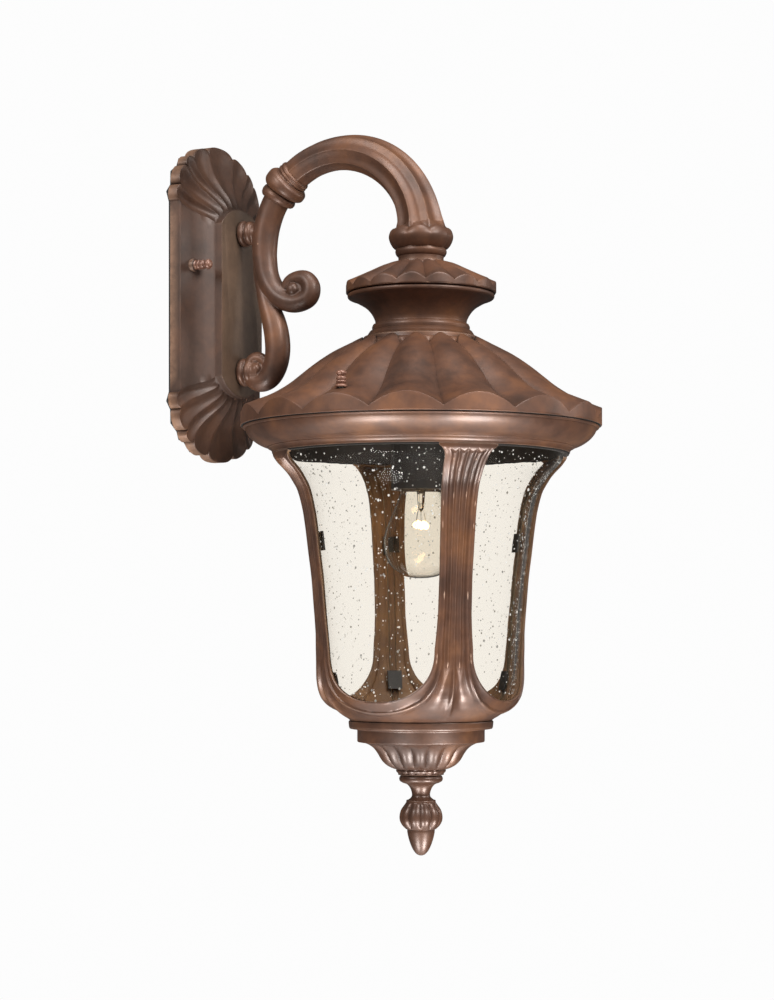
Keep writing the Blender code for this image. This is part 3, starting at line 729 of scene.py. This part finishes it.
def lobed_warp(turn, edge, drop, top, foot, flange, step):
    """Shapes a cone into lobes that meet in creases, with arched inner ends and fascia."""

    def warp(radius, height, angle):
        valley = abs(lobe_place(angle, LOBES, turn)) ** 1.9
        if height < top:
            share_left = 1 - drop * valley / (top - foot)
            return radius - 0.6 * valley, foot + (height - foot) * share_left
        reach = share_of(radius, flange, edge)
        depth = drop * (0.4 + 0.6 * reach**1.5) * share_of(radius, flange, flange * 1.1)
        arch = flange * (1.035 + 0.2 * valley)
        recess = step * share_of(radius, flange, flange * 1.01)
        recess *= 1 - share_of(radius, arch, arch * 1.025)
        return radius - 0.6 * valley * reach, height - depth * valley - recess

    return warp


def make_roof():
    profile = outline(
        [(40, -64.8), (46, -64.9)],
        [(46, -64.8)],
        [(46.6, -64.9), (47.2, -65.0), (47.9, -65.3), (48.6, -65.6), (49.4, -66.0),
         (50.2, -66.4), (51.2, -66.9), (52.2, -67.4), (53.2, -67.9), (54.2, -68.4), (55.2, -69.0),
         (56.2, -69.5), (57.4, -70.2), (60.0, -71.5), (71.7, -77.5), (81.3, -83.6), (90.1, -90),
         (98, -96.3), (106.4, -103), (115.6, -109), (124, -113.4), (132.7, -116.9), (139.5, -119.6),
         (143.2, -121.0)],
        [(143.8, -121.4), (143.9, -122.0)],
        [(143.9, -128.5), (143.9, -134.8)],
        [(143.6, -135.3), (142.8, -135.5)],
    )
    inside = [(140.2, -135.5), (139.6, -134.6), (133, -130.6), (118, -121.8), (103, -110.8),
              (80, -92.4), (66, -84.0), (48, -76), (7, -72), (7, -64.8)]
    warp = lobed_warp(turn=0.0, edge=143.9, drop=10.6, top=-122.0, foot=-135.5, flange=46, step=3.0)
    start = math.pi / LOBES
    roof = turned("roof_casting", profile, 18 * LOBES, warp, inside, start=start, sharp=34)
    cast(roof, "root", SATIN_BRONZE, "roof")
    # The roof's inside and underside are near black: painted shade.
    line_inside(roof, DARK_BRONZE_AND_SHADE)


def make_cap():
    profile = outline(
        [(12, -3.9), (19.4, -4.0)],
        [(19.8, -4.1), (20.3, -4.2), (20.9, -4.4), (21.5, -4.6), (22.2, -4.8), (23.0, -5.0),
         (23.8, -5.2), (24.8, -5.5), (31.1, -7.6), (42.2, -12.8), (52.6, -17.6), (58.6, -20.2)],
        [(59.7, -20.7), (60.1, -21.3)],
        [(60.1, -25.0), (60.1, -28.6)],
        [(59.7, -29.3), (58.6, -29.6)],
    )
    inside = [(56.5, -29.6), (55.8, -29.0), (50, -25.4), (36, -19.0), (7, -10), (7, -3.9)]
    warp = lobed_warp(
        turn=CAP_TURN, edge=60.1, drop=4.9, top=-21.3, foot=-29.3, flange=19.4, step=1.2
    )
    start = CAP_TURN + math.pi / LOBES
    cap = turned("cap_casting", profile, 16 * LOBES, warp, inside, start=start, sharp=34)
    cast(cap, "root", SATIN_BRONZE, "upper_cap")


def make_neck():
    profile = outline(
        [(20, -30), (57.0, -30)],
        [(58.2, -30.4), (58.6, -31.8), (58.0, -33.2), (56.6, -33.8)],
        [(55.0, -34.2)],
        [(50.2, -36.6), (44.0, -40.4), (39.7, -45), (37.0, -50), (36.3, -53.4)],
        [(36.6, -53.8), (38.2, -54.4)],
        [(39.0, -56.4), (38.8, -58.8)],
        [(39.4, -59.2), (40.6, -59.6)],
        [(41.6, -61.0), (43.0, -63.0), (45.6, -64.5)],
        [(39, -64.6)],
        [(34, -58), (32.3, -52), (34.5, -45), (39.5, -39.5), (43.5, -36)],
        [(7, -34)],
        [(7, -30)],
        [(20, -30)],
    )
    cast(turned("neck_casting", profile, 128), "root", SATIN_BRONZE, "neck")


def cap_nut(name, node, at, axis, length):
    """A turned cap nut, slightly smaller than its CAD node. Its body has the node's name."""
    size = 0.93 * length / 14  # the profile is drawn 14 mm tall
    width = 0.96
    profile = outline(
        [(0, 0), (4.5, 0)],
        [(4.8, 0.5), (4.7, 1.5), (3.5, 2.4)],
        [(3.2, 2.8), (3.6, 3.3)],
        [(4.0, 4.0), (4.0, 5.0), (3.5, 5.6)],
        [(3.9, 6.2), (3.9, 8.0), (3.3, 8.7)],
        [(2.8, 9.2), (3.2, 9.8)],
        [(4.1, 10.8), (4.3, 11.8), (3.7, 13.0), (2.0, 13.8), (0, 14)],
    )
    profile = [(radius * width, height * size) for radius, height in profile]
    piece = turned(name, profile, 36, at=at, axis=axis)
    cast(piece, node, NUT_BRONZE, node)


def make_nuts():
    for side in ("left", "right"):
        node = "roof_finial_" + side
        at = middle(node)
        at.z = low_of(node).z
        cap_nut("roof_nut_" + side, node, at, "Z", high_of(node).z - at.z)
        node = "plate_finial_" + side
        at = middle(node)
        at.y = high_of(node).y
        cap_nut("plate_nut_" + side, node, at, "Y", low_of(node).y - at.y)


# ------------------------------ cage

CAGE_PROFILE = smooth_run(
    [(118, -157.3), (117.4, -161), (114.6, -165.4), (109.6, -170.4), (105.6, -175), (102.4, -179.8),
     (99.2, -185), (97.2, -190), (95.2, -197), (93.2, -206), (91.4, -218.5), (89.3, -236.6),
     (86.9, -255.7), (85.3, -275), (83.7, -294), (82.4, -313), (80.9, -332.2), (79.3, -342.4),
     (76.6, -350.4), (73.0, -356.6), (68.4, -361.4), (63, -365.4), (58.4, -367.8), (56.6, -369.5)],
    3,
)
CAGE_RADIUS = Table(*[(p.y, p.x) for p in CAGE_PROFILE])
CAGE_TOP = high_of("cage_frame").z
CAGE_FOOT = low_of("cage_frame").z
WINDOW_TOP = -158.7
HEAD_FOOT = -158.2
BOLT_HOLE = 3.8
WINDOW_SPRING = -313.0
WINDOW_DROP = 39.8
WINDOW_POWER = 2.3
# Each table below gives a value by height: degrees for the half angle, millimetres for the rest
WINDOW_HALF_ANGLE = Table((WINDOW_TOP, 33.6), (-161, 34.9), (-163.5, 35.8), (-167, 36.2),
                          (-255, 36.2), (-285, 35.8), (-300, 35.0), (WINDOW_SPRING, 34.1))
BORDER = Table((-161, 5.0), (-185, 4.6), (-290, 5.0), (-313, 5.8), (-330, 7.2), (-343, 9.4),
               (-352, 11.0))
BEAD = Table((-185, 0.0), (-240, 0.2), (-300, 0.5), (-318, 1.2), (-335, 1.8), (-365, 1.6))
FIELD = Table((-180, 0.2), (-240, 0.6), (-310, 0.9), (-330, 1.2), (-362, 1.2), (-369, 0.2))
REED_DEPTH = Table((-168, 3.4), (-176, 3.0), (-190, 2.2), (-210, 1.7), (-240, 1.5), (-300, 1.3),
                   (-322, 1.2))
PETAL_DEPTH = Table((-318, 0.8), (-330, 2.6), (-345, 4.0), (-356, 3.6), (-364, 1.6), (-369, 0.1))
VEIN = Table((-322, 0.0), (-332, 0.7), (-345, 1.1), (-362, 0.8), (-369, 0.0))
LIFT = Table((-168, 0.2), (-190, 1.0), (-210, 1.3), (-300, 1.0), (-318, 1.2), (-350, 1.7),
             (-364, 0.8), (-369, 0.0))


def window_angle(height):
    """Half of the angle that a window takes at a height."""
    if height >= WINDOW_SPRING:
        return math.radians(WINDOW_HALF_ANGLE(height))
    down = min((WINDOW_SPRING - height) / WINDOW_DROP, 1.0)
    return math.radians(WINDOW_HALF_ANGLE(height)) * (1 - down**WINDOW_POWER) ** (1 / WINDOW_POWER)


def window_distance(angle, height):
    """Distance over the cage's skin from a point to the nearest edge of the window at angle 0."""
    radius = CAGE_RADIUS(height)
    if height >= WINDOW_SPRING:
        return (angle - window_angle(height)) * radius
    across = abs(angle) / window_angle(WINDOW_SPRING)
    down = (WINDOW_SPRING - height) / WINDOW_DROP
    size = max((across**WINDOW_POWER + down**WINDOW_POWER) ** (1 / WINDOW_POWER), 1e-6)
    return math.hypot(angle * radius, WINDOW_SPRING - height) * (1 - 1 / size)


def cage_relief(angle, height):
    """How far the cage's face stands from its plain radius, at an angle from a window's middle."""
    left, right = window_distance(angle, height), window_distance(math.pi / 2 - angle, height)
    near = min(left, right)
    border = BORDER(height)
    edge = -0.9 * (1 - share_of(near, -0.2, 1.2))
    band = -0.5 * math.sin(math.pi * min(max((near - 0.8) / (border - 2.2), 0), 1))
    bead = BEAD(height) * max(1 - ((near - border + 1.4) / 2.0) ** 2, 0.0)
    inside = share_of(near, border - 0.4, border + 1.4)
    place = (left - right) / max(left + right - 2 * border, 4.0)
    place = min(max(place, -1.0), 1.0)
    reeds = math.sqrt(math.sin(math.tau * place) ** 2 + 0.006)
    petals = math.sqrt(math.sin(math.pi * place) ** 2 + 0.003)
    to_petals = share_of(-height, 316, 338)
    cut = REED_DEPTH(height) * reeds * (1 - to_petals) + PETAL_DEPTH(height) * petals * to_petals
    vein = VEIN(height) * max(1 - (place / 0.13) ** 2, 0.0)
    relief = LIFT(height) + edge + band + bead + vein - (FIELD(height) + cut) * inside
    mouth = -161.2 - 2.6 * abs(math.sin(math.tau * place)) ** 0.8
    cover = share_of(height, mouth - 0.7, mouth + 0.5)
    return relief * (1 - cover) + 0.15 * cover


def make_cage_frame():
    """Four posts that stand between the windows and run together below them."""
    heights = [CAGE_TOP - 0.6 * i for i in range(31)]
    straight = heights[-1] - WINDOW_SPRING
    heights += [heights[-1] - straight * i / 90 for i in range(1, 90)]
    heights += [WINDOW_SPRING - WINDOW_DROP * math.sin(math.pi / 2 * i / 44) for i in range(44)]
    floor = WINDOW_SPRING - WINDOW_DROP
    heights += [floor + (CAGE_FOOT - floor) * i / 18 for i in range(19)]
    columns = 120
    points = []
    for height in heights:
        skip = window_angle(height)
        for part in range(4):
            for i in range(columns + 1):
                angle = skip + (math.pi / 2 - 2 * skip) * i / columns
                radius = CAGE_RADIUS(height) + cage_relief(angle, height)
                turn = math.pi / 2 * part + angle
                points.append(around_axis(radius, turn, height) * MM)
    per_post = columns + 1
    faces = []
    for row in range(len(heights) - 1):
        for part in range(4):
            for i in range(columns):
                a = (row * 4 + part) * per_post + i
                faces.append((a, a + 1, a + 1 + 4 * per_post, a + 4 * per_post))
    cage = skin("cage_casting", points, faces, 2e-6)
    wall = cage.modifiers.new("wall", "SOLIDIFY")
    wall.thickness = 2.8 * MM
    wall.offset = -1
    apply_modifiers(cage)
    cage.data.set_sharp_from_angle(angle=math.radians(42))
    cast(cage, "cage", BRONZE, "cage_frame")
    # The cage's inner faces get the warmer copy: painted warm light from the bulb.
    line_inside(cage, INNER_BRONZE_WARM_LIT)
    # The head ring just under the gallery is near black: painted shade in the gap there.
    head = [(114.6, CAGE_TOP), (117.9, CAGE_TOP), (117.8, HEAD_FOOT), (114.0, HEAD_FOOT)]
    cast(turned("cage_head", head, 192), "cage", DARK_BRONZE_AND_SHADE)
    top, foot = CAGE_FOOT + 3, CAGE_FOOT + 0.4
    disc = [(BOLT_HOLE, top), (58, top), (56.5, foot), (BOLT_HOLE, foot)]
    cast(turned("cage_floor", disc, 64), "cage", BRONZE)


def make_gallery():
    profile = outline(
        [(112, -135.8), (141.4, -135.8)],
        [(141.9, -136.4), (141.5, -137.4)],
        [(140.0, -137.8)],
        [(139.2, -139.8), (137.2, -143.0), (133.6, -146.6), (128.6, -149.8),
         (123.4, -151.8)],
        [(122.2, -152.2), (121.8, -153.0)],
        [(120.2, -153.6), (118.9, -155.2), (118.4, -157)],
        [(112, -157)],
        [(112, -135.8)],
    )
    gallery = turned("gallery_casting", profile, 256)
    cast(gallery, "cage", BRONZE, "gallery_ring")
    # The gallery's inside and underside are near black: painted shade.
    line_inside(gallery, DARK_BRONZE_AND_SHADE)


def make_bowl():
    foot = low_of("bottom_bowl").z
    profile = outline(
        [(53.5, -369.4), (56.8, -369.4)],
        [(57.7, -370.0), (57.3, -374.6)],
        [(57.2, -374.6)],
        [(56.4, -375.6), (52.4, -376.0)],
        [(51.2, -376.4), (50.8, -377.2)],
        [(50.8, -385.4)],
        [(50.2, -386.2), (47.6, -386.4)],
        [(44.4, -387.4), (40.6, -389.2), (37.4, -391.8), (34.8, -395.2), (32.6, -399.0),
         (30.2, -402.4), (26.6, -405.4), (22.4, -407.4), (19.6, -408.0)],
        [(19.9, -409.2), (19.2, -410.6)],
        [(18.3, -411.2), (18.2, foot)],
    )
    inside = [(BOLT_HOLE, foot), (BOLT_HOLE, foot + 3), (15, -406), (22, -402.6), (26.5, -398),
              (31, -391.5), (39, -386.2), (47.3, -382), (47.3, -376), (53, -371.5)]
    turn = math.radians(3)

    def gadroons(radius, height, angle):
        valley = abs(lobe_place(angle, LOBES, turn)) ** 1.8
        band = share_of(-height, 386.2, 389.0) * (1 - share_of(-height, 403.5, 408.4))
        scallop = 0.7 * share_of(-height, 407.8, 408.6) * (1 - share_of(-height, 410.8, 411.6))
        return radius - (3.2 * band + scallop) * valley, height

    start = turn + math.pi / LOBES
    bowl = turned("bowl_casting", profile, 18 * LOBES, gadroons, inside, start=start, sharp=36)
    cast(bowl, "cage", BRONZE, "bottom_bowl")


def make_finial():
    seat = high_of("bottom_finial").z
    profile = outline(
        [(14.6, seat), (16.4, -413.2), (17.4, -415.2), (16.8, -417.4), (14.6, -418.8)],
        [(11.0, -420.2), (8.6, -423.2), (7.3, -427.2), (7.6, -430.0), (10.2, -432.4)],
        [(11.6, -432.8), (11.8, -434.4)],
        [(13.2, -436.4), (15.9, -440.4), (17.1, -444.8), (16.9, -449.0), (15.0, -452.8),
         (12.4, -455.4)],
        [(11.0, -456.2)],
        [(10.9, -458.4), (9.9, -463.0), (8.3, -468.0), (6.1, -472.6), (3.6, -475.6),
         (1.4, -476.7), (0, -476.9)],
    )
    inside = [(0, -456), (BOLT_HOLE, -456), (BOLT_HOLE, seat)]
    ribs = 10
    turn = math.radians(6)

    def ribbed(radius, height, angle):
        band = share_of(-height, 433.4, 437.5) * (1 - share_of(-height, 452.5, 456.0))
        valley = abs(lobe_place(angle, ribs, turn)) ** 2.0
        return radius - 2.0 * band * valley, height

    start = turn + math.pi / ribs
    finial = turned("finial_casting", profile, 22 * ribs, ribbed, inside, start=start, sharp=36)
    cast(finial, "bottom_finial", BRONZE, "bottom_finial")


# ------------------------------ glass and bulb

GLASS_GAP = 4.2
GLASS_THICKNESS = 3.0
GLASS_HALF_ANGLE = math.radians(43.0)
BUBBLES_PER_PANEL = 560
BUBBLE_COVER = 1.3
BUBBLE_SEED = 11


def glass_point(centre_angle, share, depth, height):
    """A point in a pane, at a share of -1 to 1 across it and a depth under its outer face."""
    radius = CAGE_RADIUS(height) - GLASS_GAP - depth
    return around_axis(radius, centre_angle + GLASS_HALF_ANGLE * share, height)


def make_panel(side, centre_angle, seed):
    """One bent pane, and its seeds, which are small air bubbles inside the glass."""
    name = "glass_panel_" + side
    top, foot = HEAD_FOOT + 0.6, low_of(name).z
    rows, columns = 56, 44
    across = [2 * j / columns - 1 for j in range(columns + 1)]
    rings = []
    for i in range(rows + 1):
        height = top + (foot - top) * i / rows
        front = [glass_point(centre_angle, share, 0, height) for share in across]
        back = [glass_point(centre_angle, share, GLASS_THICKNESS, height) for share in across]
        rings.append(front + back[::-1])
    pane = shell("pane_" + side, rings, capped=True, sharp=50)
    pane.visible_shadow = False
    dress(pane, "cage", SEEDED, "seeded_glass", name)
    # The cut edges get the painted brown that stands for the bronze seen through them.
    pane.data.materials.append(CUT_EDGE_PAINTED_BRONZE)
    for face in pane.data.polygons:
        if abs(face.normal.z) < 0.3 and abs(face.normal.dot(away_from_axis(face))) < 0.2:
            face.material_index = 1
    rng = random.Random(seed)
    # The seeds glow with painted light.
    for word, finish in (("pale", GLOWING_PALE_SEED), ("grey", GLOWING_GREY_SEED)):
        bm = bmesh.new()
        for _ in range(BUBBLES_PER_PANEL // 2):
            size = rng.uniform(0.26, 0.62) + (rng.random() < 0.2) * rng.uniform(0.1, 0.5)
            height = top - 3 - (top - foot - 8) * rng.random() ** 1.35
            share = rng.uniform(-0.97, 0.97)
            depth = rng.uniform(BUBBLE_COVER, GLASS_THICKNESS - BUBBLE_COVER)
            at = glass_point(centre_angle, share, depth, height)
            long = size * rng.uniform(1.0, 1.4)
            scale = Matrix.Diagonal((size * MM, size * MM, long * MM, 1))
            place = Matrix.Translation(at * MM) @ scale
            bmesh.ops.create_icosphere(bm, subdivisions=1, radius=1.0, matrix=place)
        mesh = bpy.data.meshes.new(f"{word}_seeds_{side}")
        bm.to_mesh(mesh)
        bm.free()
        mesh.shade_smooth()
        seeds = add_object(mesh.name, mesh)
        seeds.visible_shadow = False
        dress(seeds, "cage", finish, "seeded_glass")


def make_bulb():
    top = high_of("bulb_glass").z
    foot = low_of("bulb_glass").z
    curve = smooth_run([
        (12.8, top), (13.6, top - 6), (16.2, top - 14), (20.2, top - 25), (25.8, top - 38.5),
        (29.3, top - 49), (29.9, top - 56), (28.2, top - 65.5), (23.4, top - 74.4),
        (15, top - 80.6), (7, foot + 0.5), (0, foot),
    ], 5)
    wall = 0.7
    inside = [Vector((max(p.x - wall, 0), p.y + wall * share_of(-p.y, 225, 250))) for p in curve]
    glass = turned("bulb_envelope", curve + inside[::-1], 72, sharp=60)
    glass.visible_shadow = False
    dress(glass, "bulb", BULB_CLEAR, "bulb_glass", "bulb_glass")
    base_top = high_of("bulb_base").z
    profile = outline(
        [(0, base_top), (4, base_top)],
        [(5, base_top - 2), (9, base_top - 4), (12.4, base_top - 5)],
    )
    for k in range(5):
        z = base_top - 6 - 3.6 * k
        thread = [(12.0, z), (13.1, z - 1.0), (13.1, z - 1.8), (12.0, z - 3.0)]
        profile += smooth_run(thread, 3)
    profile += [Vector((12.6, base_top - 26.6)), Vector((0, base_top - 26.6))]
    dress(turned("bulb_cap", profile, 48), "bulb", BRASS, "brass", "bulb_base")
    coil = []
    turns, per_turn = 16, 8
    posts = [(-9.5, -214.5), (-4.8, -212.6), (0, -214.8), (4.8, -212.6), (9.5, -214.5)]
    line = smooth_run([(x, AXIS_Y, z) for x, z in posts], 24)
    for k in range(turns * per_turn):
        place = line[min(int(k / (turns * per_turn) * (len(line) - 1)), len(line) - 1)]
        turn = math.tau * k / per_turn
        coil.append(place + Vector((0, 2.0 * math.cos(turn), 2.0 * math.sin(turn))))
    filament = tube("filament_coil", coil, 0.8)
    dress(filament, "bulb", FILAMENT, "glowing_tungsten", "bulb_filament")
    for number, (x, z) in enumerate(posts[::2]):
        wire = smooth_run([(x * 0.2, AXIS_Y, -196), (x * 0.6, AXIS_Y, -204), (x, AXIS_Y, z)], 6)
        dress(tube(f"filament_post_{number}", wire, 0.28), "bulb", ZINC, "zinc_steel")


def tube(name, points, radius, sides=8):
    """A thin round wire through the points."""
    rings = []
    turns = [math.tau * j / sides for j in range(sides)]
    for i, at in enumerate(points):
        along = (points[min(i + 1, len(points) - 1)] - points[max(i - 1, 0)]).normalized()
        side = along.orthogonal().normalized()
        if abs(along.y) < 0.9:
            side = along.cross(Vector((0, 1, 0))).normalized()
        up = along.cross(side)
        spokes = [side * math.cos(turn) + up * math.sin(turn) for turn in turns]
        rings.append([at + spoke * radius for spoke in spokes])
    return shell(name, rings, capped=True, sharp=60)


def paint_kept_nodes():
    """Gives each CAD node the finish that its slot asks for."""
    # The dark bronze paint slot takes the near-black finish that also serves as painted shade.
    finishes = {
        "zinc_steel": ZINC, "brass": BRASS, "black_spring_steel": BLACK_STEEL,
        "porcelain": PORCELAIN, "dark_bronze_paint": DARK_BRONZE_AND_SHADE, "bulb_glass": BULB_CLEAR,
        "black_insulation": BLACK_WIRE, "white_insulation": WHITE_WIRE, "copper": COPPER,
        "foam_gasket": RUBBER, "orange_plastic": ORANGE, "bronze_paint": BRONZE,
        "seeded_glass": SEEDED, "glowing_tungsten": FILAMENT,
    }
    slots = {part["node"]: part["material_slot"] for part in frame["record"]["subparts"]}
    for name, node in frame["nodes"].items():
        node.data.materials.clear()
        node.data.materials.append(finishes[slots[name]])


# ------------------------------ studio

FLOOR_HEIGHT = -1900.0


def make_floor():
    rings = []
    for radius in (0.0, 500.0, 1500.0):
        rings.append([Vector((x, y, FLOOR_HEIGHT)) for x, y in circle(radius, 64)])
    floor = shell("floor", rings)
    n = Nodes("pale_floor")
    n.set(Base_Color=(0.9, 0.9, 0.89, 1.0), Roughness=0.9)
    n.feed(n.ramp(n.noise(2.0), (0.0, 0.98), (1.0, 1.0)), "Emission Color")
    n.set(Emission_Strength=0.1)
    floor.data.materials.append(n.material)


def make_world():
    """White where the camera sees it, and a dimmer grey where surfaces gather its light."""
    scene = bpy.context.scene
    scene.view_settings.view_transform = "Standard"
    world = bpy.data.worlds.new("studio")
    scene.world = world
    world.use_nodes = True
    nodes, links = world.node_tree.nodes, world.node_tree.links
    nodes.clear()

    def background(*colour):
        made = nodes.new("ShaderNodeBackground")
        made.inputs["Color"].default_value = (*colour, 1.0)
        return made.outputs[0]

    def mixed(share, first, second):
        made = nodes.new("ShaderNodeMixShader")
        for number, source in enumerate((share, first, second)):
            links.new(source, made.inputs[number])
        return made.outputs[0]

    path = nodes.new("ShaderNodeLightPath")
    bounced = nodes.new("ShaderNodeMath")
    bounced.operation = "ADD"
    links.new(path.outputs["Diffuse Depth"], bounced.inputs[0])
    links.new(path.outputs["Glossy Depth"], bounced.inputs[1])
    seen = nodes.new("ShaderNodeMath")
    seen.operation = "LESS_THAN"
    seen.inputs[1].default_value = 0.5
    links.new(bounced.outputs[0], seen.inputs[0])
    soft, mirrored = background(0.3, 0.3, 0.3), background(0.08, 0.077, 0.074)
    gathered = mixed(path.outputs["Is Glossy Ray"], soft, mirrored)
    shown = mixed(seen.outputs[0], gathered, background(0.98, 0.98, 0.98))
    links.new(shown, nodes.new("ShaderNodeOutputWorld").inputs["Surface"])


def make_lamps():
    centre = Vector((0, AXIS_Y, -190)) * MM
    # Name, offset from the lantern's middle in metres, width in metres, power in watts
    lamps = (
        ("left", (-1.4, 0.5, 0.9), 0.8, 16.0),
        ("right", (-0.5, -1.45, 1.0), 0.8, 28.0),
        ("low_left", (-1.1, 0.2, -1.45), 0.7, 28.0),
        ("low_right", (-0.4, -1.1, -1.4), 0.7, 40.0),
        ("top", (-0.5, -0.5, 1.8), 0.9, 24.0),
        ("back", (1.2, -1.6, 0.5), 0.8, 6.0),
    )
    for name, offset, size, power in lamps:
        light = bpy.data.lights.new(name, "AREA")
        light.shape = "DISK"
        light.size = size
        light.energy = power
        light.color = (1.0, 0.985, 0.965)
        lamp = add_object(name, light)
        lamp.visible_transmission = False
        lamp.location = centre + Vector(offset)
        lamp.rotation_euler = (centre - lamp.location).to_track_quat("-Z", "Y").to_euler()
    glow = bpy.data.lights.new("filament_light", "POINT")
    glow.color = (1.0, 0.72, 0.38)
    glow.energy = 0.25
    glow.shadow_soft_size = 12 * MM
    lit = add_object("filament_light", glow)
    lit.location = Vector((0, AXIS_Y, -216)) * MM
    lit.visible_camera = False
    lit.visible_glossy = False
    lit.visible_transmission = False


def make_camera():
    """The camera looks level, and its lens shift frames the lantern."""
    camera = bpy.data.cameras.new("camera")
    camera.sensor_fit = "VERTICAL"
    camera.sensor_height = SENSOR_HEIGHT
    camera.lens = LENS
    camera.shift_x, camera.shift_y = LENS_SHIFT
    camera.clip_start = 0.05
    camera.clip_end = 50
    obj = add_object("camera", camera)
    towards = Vector((math.sin(VIEW_BEARING), math.cos(VIEW_BEARING), 0))
    obj.location = (Vector((0, AXIS_Y, VIEW_HEIGHT)) - towards * VIEW_DISTANCE) * MM
    obj.rotation_euler = (math.pi / 2, 0, -VIEW_BEARING)
    bpy.context.scene.camera = obj


make_camera()
make_floor()
make_world()
make_lamps()
paint_kept_nodes()
make_plate()
make_bracket()
make_collar()
make_gooseneck()
make_roof()
make_cap()
make_neck()
make_nuts()
make_gallery()
make_cage_frame()
make_bowl()
make_finial()
for number, pane_side in enumerate(("right", "rear", "left", "front")):
    make_panel(pane_side, math.radians(90 * number), BUBBLE_SEED + number)
make_bulb()
